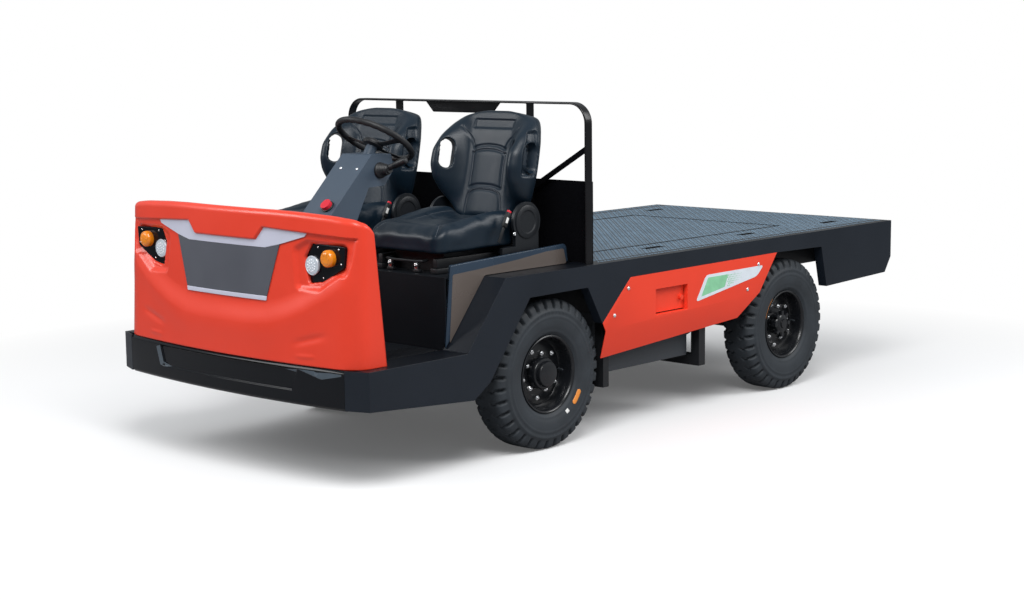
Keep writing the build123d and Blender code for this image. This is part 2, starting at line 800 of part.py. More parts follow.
# Seats, alike on both sides. Each has a base, a cushion and a winged back.
BASE_Z1 = 905.0
CUSHION_Z1 = 1010.0
CUSHION_X0 = 800.0
CUSHION_X1 = 1310.0
CUSHION_HALF = 240.0
back_plane = Plane(
    origin=(745, SEAT_Y, 1000),
    x_dir=(0, 1, 0),
    z_dir=(-sin(radians(BACK_TILT)), 0, cos(radians(BACK_TILT))),
)
back_side = Plane(
    origin=(745, SEAT_Y + 300, 1000),
    x_dir=(cos(radians(BACK_TILT)), 0, sin(radians(BACK_TILT))),
    z_dir=(0, -1, 0),
)
back_front = Plane(
    origin=(745, SEAT_Y, 1000),
    x_dir=(0, 1, 0),
    z_dir=(cos(radians(BACK_TILT)), 0, sin(radians(BACK_TILT))),
)
BACK_H = 485.0
with BuildPart() as one_back:
    with BuildSketch(back_plane):
        with BuildLine():
            Polyline((0, 60), (205, 60), (262, 20), (262, -170), (222, -170), (178, -30), (0, -30))
            mirror(about=Plane.YZ)
        make_face()
    extrude(amount=BACK_H)
    with BuildSketch(back_side):
        with BuildLine():
            Polyline(
                (-80, 0),
                (60, 0),
                (130, 90),
                (170, 160),
                (165, 260),
                (90, 410),
                (50, BACK_H),
                (-80, BACK_H),
                close=True,
            )
        make_face()
    extrude(amount=600, mode=Mode.INTERSECT)
    with BuildSketch(back_front.offset(-200)):
        with BuildLine():
            Polyline((0, 0), (185, 0), (262, 130), (262, 400), (190, BACK_H), (0, BACK_H))
            mirror(about=Plane.YZ)
        make_face()
    extrude(amount=500, mode=Mode.INTERSECT)
    with BuildSketch(back_side):
        with Locations((85, 225)):
            SlotOverall(130, 52, rotation=90)
    extrude(amount=600, mode=Mode.SUBTRACT)
with BuildPart() as seat_backs:
    add(one_back.part)
    add(mirror(one_back.part, about=Plane.XZ))
save(seat_backs, "seat_backs")

with BuildPart() as seat_cushions:
    for seat_y in (SEAT_Y, -SEAT_Y):
        with BuildSketch(Plane.XY.offset(BASE_Z1)):
            with Locations(((CUSHION_X0 + CUSHION_X1) / 2, seat_y)):
                RectangleRounded(CUSHION_X1 - CUSHION_X0, 2 * CUSHION_HALF, 60)
        extrude(amount=CUSHION_Z1 - BASE_Z1)
    fillet(seat_cushions.faces().group_by(Axis.Z)[-1].edges(), 28)
save(seat_cushions, "seat_cushions")

with BuildPart() as seat_bases:
    for seat_y in (SEAT_Y, -SEAT_Y):
        with BuildSketch(Plane.XY.offset(SEAT_BOX_Z)):
            with Locations((960, seat_y)):
                Rectangle(470, 300)
        extrude(amount=BASE_Z1 - SEAT_BOX_Z)
        for hip_y in (seat_y + 266, seat_y - 250):
            with BuildSketch(side(hip_y)):
                with Locations((790, 1010)):
                    Circle(88)
                with Locations((790, 930)):
                    Rectangle(150, 140)
                with Locations((860, 882)):
                    Rectangle(180, 46)
            extrude(amount=16)
        with BuildSketch(Plane.XY.offset(BASE_Z1 - 30)):
            with Locations((850, seat_y)):
                Rectangle(100, 516)
        extrude(amount=30)
        with BuildSketch(back_plane):
            with Locations((seat_y - SEAT_Y, 10)):
                Rectangle(330, 70)
        extrude(amount=-110)
save(seat_bases, "seat_bases")

# Front axle beam with an eye at each end, and the knuckle forks that turn about its kingpins.
LUG_T = 30.0
with BuildPart() as front_axle:
    with Locations((FRONT_AXLE_X, 0, AXLE_Z)):
        Box(76, 2 * (KINGPIN_Y - 20), 70)
    for pin_y in (KINGPIN_Y, -KINGPIN_Y):
        with Locations((FRONT_AXLE_X, pin_y, AXLE_Z)):
            Cylinder(EYE_R, 2 * EYE_HALF)
    for pin_y in (KINGPIN_Y, -KINGPIN_Y):
        with Locations((FRONT_AXLE_X, pin_y, AXLE_Z)):
            Cylinder(KINGPIN_R + PIN_CLEAR, 2 * EYE_HALF, mode=Mode.SUBTRACT)
save(front_axle, "front_axle")

WEB_Y = KINGPIN_Y + EYE_R + JOINT_GAP
HUB_IN = WEB_Y + 17 + JOINT_GAP
LUG_Z = AXLE_Z + EYE_HALF + JOINT_GAP
LUG_LOW = AXLE_Z - EYE_HALF - JOINT_GAP - LUG_T
ARM_T = 18.0
ARM_END_X = FRONT_AXLE_X - STEER_ARM
ARM_Y = KINGPIN_Y
TIE_PIN_R = 10.0
TIE_EYE_R = 22.0
SPINDLE_END = WHEEL_Y + 38
with BuildPart() as knuckle_left:
    for lug_z in (LUG_Z, LUG_LOW):
        with BuildSketch(Plane.XY.offset(lug_z)):
            with Locations((FRONT_AXLE_X, KINGPIN_Y)):
                Circle(EYE_R - 2)
                Rectangle(68, WEB_Y + 17 - KINGPIN_Y, align=(Align.CENTER, Align.MIN))
        extrude(amount=LUG_T)
    with BuildSketch(Plane.XY.offset(LUG_LOW)):
        with Locations((FRONT_AXLE_X, WEB_Y)):
            Rectangle(68, 17, align=(Align.CENTER, Align.MIN))
    extrude(amount=LUG_Z + LUG_T - LUG_LOW)
    with BuildSketch(Plane.XY.offset(LUG_LOW)):
        with Locations((FRONT_AXLE_X, KINGPIN_Y)):
            Circle(KINGPIN_R)
    extrude(amount=LUG_Z + LUG_T - LUG_LOW)
    with BuildSketch(Plane.XY.offset(LUG_LOW)):
        with BuildLine():
            Polyline(
                (FRONT_AXLE_X - 10, KINGPIN_Y + 20),
                (ARM_END_X, ARM_Y + TIE_EYE_R),
                (ARM_END_X, ARM_Y - TIE_EYE_R),
                (FRONT_AXLE_X - 10, KINGPIN_Y - 30),
                close=True,
            )
        make_face()
        with Locations((ARM_END_X, ARM_Y)):
            Circle(TIE_EYE_R)
    extrude(amount=ARM_T)
    with BuildSketch(Plane.XY.offset(LUG_LOW)):
        with Locations((ARM_END_X, ARM_Y)):
            Circle(TIE_PIN_R)
    extrude(amount=ARM_T + 34)
    with BuildSketch(side(WEB_Y + 10)):
        with Locations((FRONT_AXLE_X, AXLE_Z)):
            Circle(SPINDLE_R)
    extrude(amount=-(SPINDLE_END - WEB_Y - 10))
save(knuckle_left, "knuckle_left")
knuckle_right = mirrored(knuckle_left)
save(knuckle_right, "knuckle_right")

ROD_LOW = LUG_LOW + ARM_T + JOINT_GAP
ROD_T = 22.0
with BuildPart() as tie_rod:
    with BuildSketch(Plane.XY.offset(ROD_LOW)):
        with Locations((ARM_END_X, ARM_Y), (ARM_END_X, -ARM_Y)):
            Circle(TIE_EYE_R)
        with Locations((ARM_END_X, 0)):
            Rectangle(24, 2 * ARM_Y)
        with Locations((ARM_END_X, ARM_Y), (ARM_END_X, -ARM_Y)):
            Circle(TIE_PIN_R + PIN_CLEAR, mode=Mode.SUBTRACT)
    extrude(amount=ROD_T)
save(tie_rod, "tie_rod")

# Rear axle: tube, differential and drive motor in one housing, with brake drums and spindles.
TUBE_R = 48.0
PAD_Z = 392.0
DRUM_R = 128.0
DRUM_IN = 74.0
DRUM_W = 44.0
with BuildPart() as rear_axle:
    with BuildSketch(side(WHEEL_Y - KINGPIN_IN)):
        with Locations((REAR_AXLE_X, AXLE_Z)):
            Circle(TUBE_R)
    extrude(amount=2 * (WHEEL_Y - KINGPIN_IN))
    with BuildSketch(side(130)):
        with Locations((REAR_AXLE_X, AXLE_Z)):
            Circle(128)
    extrude(amount=260)
    fillet(rear_axle.edges().filter_by(GeomType.CIRCLE).filter_by(lambda e: e.radius > 120), 30)
    with BuildSketch(Plane.YZ.offset(REAR_AXLE_X + 60)):
        with Locations((0, AXLE_Z + 20)):
            Circle(104)
    extrude(amount=330)
    for end in (1, -1):
        with BuildSketch(side(end * (WHEEL_Y - DRUM_IN))):
            with Locations((REAR_AXLE_X, AXLE_Z)):
                Circle(DRUM_R)
        extrude(amount=-end * DRUM_W)
        with BuildSketch(side(end * (WHEEL_Y - DRUM_IN))):
            with Locations((REAR_AXLE_X, AXLE_Z)):
                Circle(SPINDLE_R)
        extrude(amount=-end * (SPINDLE_END - WHEEL_Y + DRUM_IN))
    rail_mid = (RAIL_IN + RAIL_OUT) / 2
    with Locations((REAR_AXLE_X, rail_mid, PAD_Z - 27), (REAR_AXLE_X, -rail_mid, PAD_Z - 27)):
        Box(110, 60, 54)
save(rear_axle, "rear_axle")

# Leaf springs under the rails, each leaf shorter than the one above it.
# Columns: inner radius of the leaf, its half length.
LEAVES = ((670.0, 350.0), (680.0, 280.0), (690.0, 200.0), (700.0, 120.0))
LEAF_T = 10.0
SPRING_REACH = 335.0
# Columns: axle x, height of the seat under the spring.
SPRINGS = ((FRONT_AXLE_X, AXLE_Z + 35), (REAR_AXLE_X, PAD_Z))
with BuildPart() as leaf_springs:
    for axle_x, seat_z in SPRINGS:
        for spring_y in (RAIL_OUT - 2, -RAIL_IN - 2):
            for radius, half in LEAVES:
                with BuildSketch(side(spring_y)):
                    with Locations((axle_x, seat_z + LEAVES[-1][0] + LEAF_T)):
                        Circle(radius + LEAF_T)
                        Circle(radius, mode=Mode.SUBTRACT)
                        Rectangle(2 * half, radius + 50, align=(Align.CENTER, Align.MAX), mode=Mode.INTERSECT)
                extrude(amount=60)
            with BuildSketch(side(spring_y)):
                with Locations((axle_x - SPRING_REACH, RAIL_LOW), (axle_x + SPRING_REACH, RAIL_LOW)):
                    Rectangle(30, RAIL_LOW - seat_z - 128, align=(Align.CENTER, Align.MAX))
            extrude(amount=60)
save(leaf_springs, "leaf_springs")


# Tyres: a faceted carcass under two rings of lugs, set half a pitch apart.
LUGS = 22
LUG_DEEP = 22.0
LUG_SUNK = 6.0
LUG_REACH = 76.0
LUG_TIP = 0.31
LUG_ROOT = 0.40
PITCH = 360.0 / LUGS
# Columns: radius to the flats, reach from the middle of the tread.
CARCASS = ((246.0, TYRE_HALF), (292.0, 90.0), (TYRE_R - LUG_DEEP - LUG_SUNK, LUG_REACH))
BEAD = ((240.0, TYRE_HALF), (RIM_R + 2, RIM_HALF - 10), (BEAD_R + SEAT_GAP, RIM_HALF - 11))


def facet_rings(rows):
    """A ruled body through polygons, from the outer side of the tyre to the inner one."""
    with BuildPart() as body:
        for radius, reach in rows:
            with BuildSketch(side(WHEEL_Y + reach)):
                with Locations((0, AXLE_Z)):
                    RegularPolygon(radius, LUGS, major_radius=False)
        for radius, reach in reversed(rows):
            with BuildSketch(side(WHEEL_Y - reach)):
                with Locations((0, AXLE_Z)):
                    RegularPolygon(radius, LUGS, major_radius=False)
        loft(ruled=True)
    return body.part


def lug_outline(start):
    """Corners of a ring of lugs in side view, the first lug at this turn from the bottom."""
    corners = []
    tip = TYRE_R / cos(radians((0.5 - LUG_TIP) * PITCH))
    root = TYRE_R - LUG_DEEP
    for lug in range(LUGS):
        for share, radius in ((-LUG_ROOT, root), (-LUG_TIP, tip), (LUG_TIP, tip), (LUG_ROOT, root)):
            angle = radians(start + (lug + share) * PITCH)
            corners.append((radius * sin(angle), AXLE_Z - radius * cos(angle)))
    return corners


# The left tyre at x = 0, with its lugs' edges on the ground.
with BuildPart() as one_tyre:
    add(facet_rings(CARCASS))
    for start, face_y in ((0, WHEEL_Y + LUG_REACH), (PITCH / 2, WHEEL_Y)):
        with BuildSketch(side(face_y)):
            with BuildLine():
                Polyline(*lug_outline(start), close=True)
            make_face()
        extrude(amount=LUG_REACH)
    add(facet_rings(BEAD), mode=Mode.SUBTRACT)


# Wheels: a pressed rim with a deep disc and a hub.
# Columns: inner radius, outer radius, inner reach, outer reach.
RIM_RINGS = (
    (BARREL_R, BEAD_R, -RIM_HALF, RIM_HALF),
    (BARREL_R, RIM_R, RIM_HALF - 9, RIM_HALF),
    (BARREL_R, RIM_R, -RIM_HALF, 9 - RIM_HALF),
    (40.0, BARREL_R + 2, -2.0, 10.0),
    (SPINDLE_R + PIN_CLEAR, 66.0, HUB_IN - WHEEL_Y, 44.0),
    (0.0, 46.0, 44.0, 60.0),
)


def wheel(axle_x, lobes):
    with BuildPart() as built:
        with BuildSketch(Plane(origin=(axle_x, WHEEL_Y, AXLE_Z))):
            for inner, outer, low, high in RIM_RINGS:
                with Locations((inner, low)):
                    Rectangle(outer - inner, high - low, align=Align.MIN)
        revolve(axis=Axis((axle_x, WHEEL_Y, AXLE_Z), (0, 1, 0)))
        if lobes:
            with BuildSketch(side(WHEEL_Y + 30)):
                with Locations((axle_x, AXLE_Z)):
                    with PolarLocations(62, lobes):
                        Circle(15)
            extrude(amount=-14)
    return built


# Columns: name, axle x, drive-flange lobes on the hub.
AXLES = (("front", FRONT_AXLE_X, 0), ("rear", REAR_AXLE_X, 8))
for axle_name, axle_x, lobes in AXLES:
    with BuildPart() as left_tyre:
        with Locations((axle_x, 0, 0)):
            add(one_tyre.part)
    save(left_tyre, f"tyre_{axle_name}_left")
    save(mirrored(left_tyre), f"tyre_{axle_name}_right")
    left_wheel = wheel(axle_x, lobes)
    save(left_wheel, f"wheel_{axle_name}_left")
    save(mirrored(left_wheel), f"wheel_{axle_name}_right")

# Tow hitch under the tail: two jaws on a bracket, and the pin that drops through them.
HITCH_X = -1964.0
HITCH_PIN_R = 14.0
JAW_T = 18.0
JAW_LOW = 440.0
JAW_GAP = 64.0
with BuildPart() as tow_hitch:
    with BuildSketch(Plane.YZ.offset(-1930)):
        with Locations((0, JAW_LOW)):
            Rectangle(150, RAIL_LOW - JAW_LOW, align=(Align.CENTER, Align.MIN))
    extrude(amount=40)
    for jaw_z in (JAW_LOW, JAW_LOW + JAW_T + JAW_GAP):
        with BuildSketch(Plane.XY.offset(jaw_z)):
            with Locations((-1930, 0)):
                Rectangle(-1930 - HITCH_X, 60, align=(Align.MAX, Align.CENTER))
            with Locations((HITCH_X, 0)):
                Circle(30)
                Circle(HITCH_PIN_R + PIN_CLEAR, mode=Mode.SUBTRACT)
        extrude(amount=JAW_T)
save(tow_hitch, "tow_hitch")

with BuildPart() as tow_pin:
    with BuildSketch(Plane.XY.offset(JAW_LOW - 10)):
        with Locations((HITCH_X, 0)):
            Circle(HITCH_PIN_R)
    extrude(amount=2 * JAW_T + JAW_GAP + 11)
    with BuildSketch(Plane.XY.offset(JAW_LOW + 2 * JAW_T + JAW_GAP + 1)):
        with Locations((HITCH_X, 0)):
            Circle(22)
    extrude(amount=12)
save(tow_pin, "tow_pin")
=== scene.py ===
import math

import bmesh
import bpy
import numpy as np
from mathutils import Matrix, Vector
from mathutils.bvhtree import BVHTree


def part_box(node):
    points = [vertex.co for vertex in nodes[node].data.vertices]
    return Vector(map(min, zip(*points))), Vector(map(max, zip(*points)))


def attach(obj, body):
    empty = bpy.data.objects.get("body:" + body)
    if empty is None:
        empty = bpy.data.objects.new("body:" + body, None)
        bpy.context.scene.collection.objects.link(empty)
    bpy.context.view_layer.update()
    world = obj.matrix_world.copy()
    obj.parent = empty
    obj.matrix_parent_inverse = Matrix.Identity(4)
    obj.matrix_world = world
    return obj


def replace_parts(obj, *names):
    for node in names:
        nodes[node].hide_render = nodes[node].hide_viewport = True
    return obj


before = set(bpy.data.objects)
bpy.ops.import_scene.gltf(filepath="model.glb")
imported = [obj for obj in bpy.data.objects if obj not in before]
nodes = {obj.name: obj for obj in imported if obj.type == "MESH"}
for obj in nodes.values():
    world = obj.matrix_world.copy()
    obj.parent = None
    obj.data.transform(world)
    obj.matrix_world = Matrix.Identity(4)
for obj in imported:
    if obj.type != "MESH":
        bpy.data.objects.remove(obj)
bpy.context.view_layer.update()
scene = bpy.context.scene
at = Matrix.Translation

# Places in metres, in the frame of the model: X forward, Y left, Z up.
FORWARD = Vector((1, 0, 0))
UP = Vector((0, 0, 1))
SIDE = {"left": 1, "right": -1}
AXLE_X = {"front": 0.782, "rear": -1.058}
AXLE_Z = 0.338
WHEEL_Y = 0.686
DECK_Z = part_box("deck_cover")[1].z
HALF_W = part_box("side_frame_left")[1].y
SEAT_Y = 0.380
SLOTS_X = (-0.160, -0.930, -1.700)
SLOT_Y = 0.600
DECK_IN = 0.736


# Materials

class NodeTree:
    """Short ways to add nodes to the tree of a material or world."""

    def __init__(self, owner):
        owner.use_nodes = True
        self.nodes = owner.node_tree.nodes
        self.links = owner.node_tree.links

    def fill(self, node, inputs):
        """Links sockets to outputs, and sets colours and numbers on the others."""
        for key, value in inputs.items():
            if isinstance(value, bpy.types.NodeSocket):
                self.links.new(value, node.inputs[key])
            elif isinstance(value, tuple):
                node.inputs[key].default_value = (*value, 1.0)
            else:
                node.inputs[key].default_value = value

    def add(self, kind, output, inputs=None, **settings):
        node = self.nodes.new("ShaderNode" + kind)
        for name, value in settings.items():
            setattr(node, name, value)
        self.fill(node, inputs or {})
        return node.outputs[output]

    def noise(self, coord, scale, detail=3.0):
        return self.add("TexNoise", "Fac", {"Scale": scale, "Detail": detail, "Vector": coord})

    def map_range(self, value, low, high, to_low, to_high):
        return self.add("MapRange", "Result", {"Value": value, "From Min": low, "From Max": high,
                                               "To Min": to_low, "To Max": to_high})

    def mix_colour(self, factor, first, second):
        return self.add("Mix", 2, {0: factor, 6: first, 7: second}, data_type="RGBA")

    def mix_shader(self, factor, first, second):
        return self.add("MixShader", 0, {0: factor, 1: first, 2: second})


# The share of a noise pattern, and of a normal's height, over which a colour changes.
PATCH_RANGE = (0.3, 0.7)
LYING_RANGE = (0.3, 0.9)
COAT_ROUGH = 0.04


def finish(name, colour, rough, vary=0.10, patch=3.0, grain=900.0, bump=0.10, depth=0.0004,
           rough_vary=0.06, metallic=0.0, coat=0.0, specular=0.5, cells=False, top=0.0,
           top_colour=(0.20, 0.20, 0.20)):
    """A surface with patchy colour and gloss, a fine grain, and another colour on faces that look up, which
    on the body black is painted shade.
    """
    mat = bpy.data.materials.new(name)
    tree = NodeTree(mat)
    coord = tree.add("TexCoord", "Object")
    wide = tree.noise(coord, patch, 5.0)
    dark = tuple(c * (1 - vary) for c in colour)
    light = tuple(min(1.0, c * (1 + vary)) for c in colour)
    base = tree.mix_colour(tree.map_range(wide, *PATCH_RANGE, 0.0, 1.0), dark, light)
    if top:
        height = tree.add("SeparateXYZ", "Z", {0: tree.add("NewGeometry", "Normal")})
        base = tree.mix_colour(tree.map_range(height, *LYING_RANGE, 0.0, top), base, top_colour)
    if cells:
        relief = tree.add("TexVoronoi", "Distance", {"Scale": grain, "Vector": coord})
    else:
        relief = tree.noise(coord, grain, 2.0)
    tree.fill(tree.nodes["Principled BSDF"], {
        "Base Color": base,
        "Roughness": tree.map_range(wide, *PATCH_RANGE, rough - rough_vary, rough + rough_vary),
        "Normal": tree.add("Bump", "Normal", {"Strength": bump, "Distance": depth, "Height": relief}),
        "Metallic": metallic,
        "Coat Weight": coat,
        "Coat Roughness": COAT_ROUGH,
        "Specular IOR Level": specular,
    })
    return mat


RED = finish("red_paint", (0.74, 0.045, 0.018), 0.34, vary=0.03, grain=160.0, bump=0.02, coat=0.12,
             specular=0.4)
RED_SATIN = finish("red_cover_paint", (0.86, 0.058, 0.025), 0.44, vary=0.03, grain=300.0, bump=0.05,
                   specular=0.3)
# The body black is painted darker on faces that look up: painted shade.
BODY = finish("body_black", (0.009, 0.013, 0.020), 0.40, grain=700.0, bump=0.12, specular=0.28, top=0.8,
              top_colour=(0.0012, 0.002, 0.004))
GLOSS = finish("gloss_black", (0.003, 0.004, 0.006), 0.16, grain=200.0, bump=0.02, specular=0.22)
# A lighter film on the black bumper: a painted highlight.
FACET_HIGHLIGHT = finish("bumper_painted_highlight", (0.060, 0.080, 0.100), 0.24, vary=0.15, patch=14.0, grain=200.0, bump=0.03)
# Blue-grey on the rolled edges of the black gloss trims: a painted highlight.
TRIM_EDGE_HIGHLIGHT = finish("trim_edge_painted_highlight", (0.022, 0.040, 0.066), 0.26, grain=300.0, bump=0.03)
# Brown on the flat of the black gloss trims: a painted reflection.
TRIM_REFLECTION = finish("trim_brown_painted_reflection", (0.118, 0.097, 0.086), 0.30, vary=0.05, patch=2.0, grain=300.0, bump=0.03)
GUARD = finish("guard_black", (0.004, 0.004, 0.005), 0.22, grain=500.0, bump=0.05, specular=0.35)
FRAME = finish("frame_black", (0.010, 0.011, 0.013), 0.46, grain=500.0, bump=0.15, specular=0.4)
# Grey of the deck plates; its blue tint is a painted reflection of the sky.
DECK_GREY_SKY_TINT = finish("deck_grey", (0.016, 0.028, 0.042), 0.44, vary=0.14, patch=6.0, grain=600.0, bump=0.2)
# The tread bars in a lighter, bluer copy of the deck grey: a painted highlight.
TREAD_HIGHLIGHT = finish("deck_tread_painted_highlight", (0.150, 0.228, 0.305), 0.38, vary=0.20, patch=12.0, grain=600.0, bump=0.2)
BATTERY = finish("battery_grey", (0.042, 0.048, 0.056), 0.55, grain=500.0, bump=0.2)
VINYL = finish("seat_vinyl", (0.005, 0.013, 0.023), 0.36, vary=0.15, grain=620.0, bump=0.30, cells=True,
               depth=0.0006, specular=0.34)
COLUMN = finish("column_grey", (0.040, 0.062, 0.092), 0.50, grain=1300.0, bump=0.30, cells=True)
PLASTIC = finish("trim_black", (0.009, 0.010, 0.012), 0.46, grain=1500.0, bump=0.25, cells=True,
                 specular=0.4)
HIP = finish("hip_grey", (0.007, 0.009, 0.012), 0.44, grain=1300.0, bump=0.25, cells=True, specular=0.4)
SILVER = finish("silver_strip", (0.56, 0.57, 0.68), 0.34, vary=0.04, grain=1200.0, bump=0.05, metallic=0.1)
PANEL = finish("panel_grey", (0.075, 0.080, 0.098), 0.38, vary=0.08, grain=1200.0, bump=0.06)
RUBBER = finish("tyre_rubber", (0.027, 0.033, 0.040), 0.62, vary=0.22, patch=9.0, grain=420.0, bump=0.30,
                rough_vary=0.10, specular=0.4, top=0.03)
# Black rubber, made darker still as painted shade on the floor plate, its ribs and the seat box.
SHADED_MAT_RUBBER = finish("mat_rubber_painted_shade", (0.004, 0.0055, 0.008), 0.55, grain=700.0, bump=0.3, specular=0.2)
RIM = finish("rim_black", (0.007, 0.008, 0.010), 0.26, grain=500.0, bump=0.05)
IRON = finish("cast_iron", (0.014, 0.014, 0.016), 0.62, vary=0.25, grain=260.0, bump=0.5, depth=0.001)
ZINC = finish("zinc", (0.80, 0.81, 0.82), 0.24, vary=0.12, patch=60.0, grain=1500.0, bump=0.05, metallic=1.0)
STEEL = finish("steel", (0.34, 0.34, 0.35), 0.36, vary=0.12, patch=30.0, bump=0.12, metallic=1.0)
AMBER = finish("amber_lens", (0.78, 0.23, 0.006), 0.16, vary=0.14, patch=40.0, grain=240.0, bump=0.25,
               cells=True, depth=0.002, coat=0.5)
LENS = finish("white_lens", (0.52, 0.58, 0.64), 0.16, patch=60.0, grain=300.0, bump=0.15, cells=True,
              depth=0.001, coat=0.6)
LED = finish("led_dot", (0.90, 0.94, 1.0), 0.12, vary=0.02, grain=600.0, bump=0.05, coat=0.8)
RED_LENS = finish("red_lens", (0.40, 0.010, 0.010), 0.16, patch=30.0, grain=260.0, bump=0.3, cells=True,
                  depth=0.002, coat=0.5)
BUTTON = finish("button_red", (0.60, 0.012, 0.030), 0.30, vary=0.05, grain=800.0, bump=0.06, coat=0.2)
TAG = finish("white_tag", (0.80, 0.80, 0.78), 0.55, vary=0.05, bump=0.08)
ORANGE = finish("orange_sticker", (0.80, 0.27, 0.04), 0.45, vary=0.06, bump=0.06)
# Near-black and matte: painted shade on sheets in the deck slots, and the dark seals around the deck cover.
SLOT_SHADE_AND_SEAL = finish("slot_shade_and_seal_black", (0.0015, 0.0015, 0.002), 0.9, specular=0.05)
GREEN = finish("label_green", (0.26, 0.62, 0.36), 0.34, patch=30.0, bump=0.05)
THREAD = finish("grey_thread", (0.16, 0.17, 0.19), 0.7, grain=2500.0, bump=0.4)
LABEL = finish("label_film", (0.74, 0.80, 0.86), 0.32, vary=0.04, patch=20.0, bump=0.04)

WHEEL_NAMES = [f"{axle}_{side}" for axle in AXLE_X for side in SIDE]
NODE_MATERIALS = {
    FRAME: ("chassis_frame", "battery_cradle", "tow_hitch"),
    BODY: ("side_frame_left", "side_frame_right", "tail_plate"),
    DECK_GREY_SKY_TINT: ("deck_surround", "deck_cover"),
    RED: ("front_cowl",),
    RED_SATIN: ("side_cover_left", "side_cover_right", "charge_hatch"),
    GLOSS: ("front_bumper", "lamp_bezels"),
    TRIM_EDGE_HIGHLIGHT: ("seat_box_trims",),
    GUARD: ("guard_frame", "headboard"),
    BATTERY: ("battery_pack",),
    PLASTIC: ("charge_socket", "driver_controls", "steering_wheel"),
    SHADED_MAT_RUBBER: ("floor_plate", "seat_box"),
    COLUMN: ("steering_column",),
    HIP: ("seat_bases",),
    VINYL: ("seat_backs", "seat_cushions"),
    SILVER: ("cowl_strips",),
    PANEL: ("cowl_panel",),
    LENS: ("headlamps",),
    AMBER: ("turn_signals",),
    RED_LENS: ("tail_lamps",),
    BUTTON: ("stop_button",),
    IRON: ("front_axle", "rear_axle", "leaf_springs", "knuckle_left", "knuckle_right", "tie_rod"),
    STEEL: ("tow_pin",),
    RIM: ["wheel_" + name for name in WHEEL_NAMES],
    RUBBER: ["tyre_" + name for name in WHEEL_NAMES],
}
# Edge radius in metres, and the solids that keep their own form with it.
SOFT_EDGE = {
    0.001: ("charge_hatch", "deck_surround", "cowl_panel"),
    0.0015: ("headboard", "side_cover_left", "side_cover_right", "tail_plate", "deck_cover", "cowl_strips",
             "leaf_springs"),
    0.002: ("tie_rod", "tow_pin", "floor_plate", "charge_socket"),
    0.0025: ("side_frame_left", "side_frame_right"),
    0.003: ("chassis_frame", "battery_cradle", "knuckle_left", "knuckle_right", "tow_hitch"),
    0.004: ("front_bumper", "guard_frame", "seat_box", "tail_lamps", "driver_controls", "rear_axle",
            "front_axle"),
    0.005: ("seat_bases",),
    0.006: ("battery_pack", "lamp_bezels", "stop_button"),
    0.012: ("steering_column",),
    0.014: ("seat_box_trims",),
}
WELD_GAP = 0.00001
EDGE_ANGLE = math.radians(35)


def soften(node, radius):
    """Rounds a solid's sharp edges."""
    weld = node.modifiers.new("weld", "WELD")
    weld.merge_threshold = WELD_GAP
    edge = node.modifiers.new("edge", "BEVEL")
    edge.width = radius
    edge.segments = 2
    edge.limit_method = "ANGLE"
    edge.angle_limit = EDGE_ANGLE
    edge.use_clamp_overlap = True
    normal = node.modifiers.new("normal", "WEIGHTED_NORMAL")
    normal.keep_sharp = False


def dress_nodes():
    for mat, names in NODE_MATERIALS.items():
        for name in names:
            nodes[name].material_slots[0].material = mat
    for radius, names in SOFT_EDGE.items():
        for name in names:
            soften(nodes[name], radius)


# Meshes and pieces

def new_mesh(name, verts, faces):
    mesh = bpy.data.meshes.new(name)
    mesh.from_pydata([tuple(v) for v in verts], [], faces)
    return mesh


def turn_out(mesh):
    """Makes every face of a closed mesh look outwards."""
    work = bmesh.new()
    work.from_mesh(mesh)
    bmesh.ops.recalc_face_normals(work, faces=work.faces)
    work.to_mesh(mesh)
    work.free()
    return mesh


def surface_tree(mesh):
    """A tree that finds where rays meet a mesh."""
    work = bmesh.new()
    work.from_mesh(mesh)
    tree = BVHTree.FromBMesh(work)
    work.free()
    return tree


def make_piece(mesh, name, mat, body="chassis", smooth=True):
    """Makes a mesh into a piece that rides a body."""
    mesh.materials.clear()
    mesh.materials.append(mat)
    if smooth:
        mesh.shade_smooth()
    obj = bpy.data.objects.new(name, mesh)
    scene.collection.objects.link(obj)
    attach(obj, body)
    return obj


class Shape:
    """Vertices and faces of one piece, gathered from smaller forms."""

    def __init__(self):
        self.verts = []
        self.faces = []

    def add(self, form, where=None):
        verts, faces = form
        first = len(self.verts)
        for point in verts:
            self.verts.append(where @ Vector(point) if where else Vector(point))
        for face in faces:
            self.faces.append([first + i for i in face])
        return self

    def mesh(self, name):
        return turn_out(new_mesh(name, self.verts, self.faces))

    def piece(self, name, mat, slot, body="chassis", smooth=True, sharp=40.0):
        obj = make_piece(self.mesh(name), name, mat, body, smooth)
        if smooth:
            obj.data.set_sharp_from_angle(angle=math.radians(sharp))
        return obj


# Forms: each is a list of vertices and a list of faces.

def grid_faces(rows, columns, wrap=False, ring=False):
    """Faces of a grid of points; wrap joins its last column to the first, ring its last row."""
    faces = []
    for r in range(rows if ring else rows - 1):
        s = (r + 1) % rows
        for c in range(columns if wrap else columns - 1):
            d = (c + 1) % columns
            faces.append([r * columns + c, r * columns + d, s * columns + d, s * columns + c])
    return faces


def sleeve_faces(rows, columns):
    """Faces of a tube of rings with both ends closed."""
    first = list(range(columns))
    last = [(rows - 1) * columns + k for k in first]
    return grid_faces(rows, columns, wrap=True) + [first, last]


def angles(count):
    return [2 * math.pi * k / count for k in range(count)]


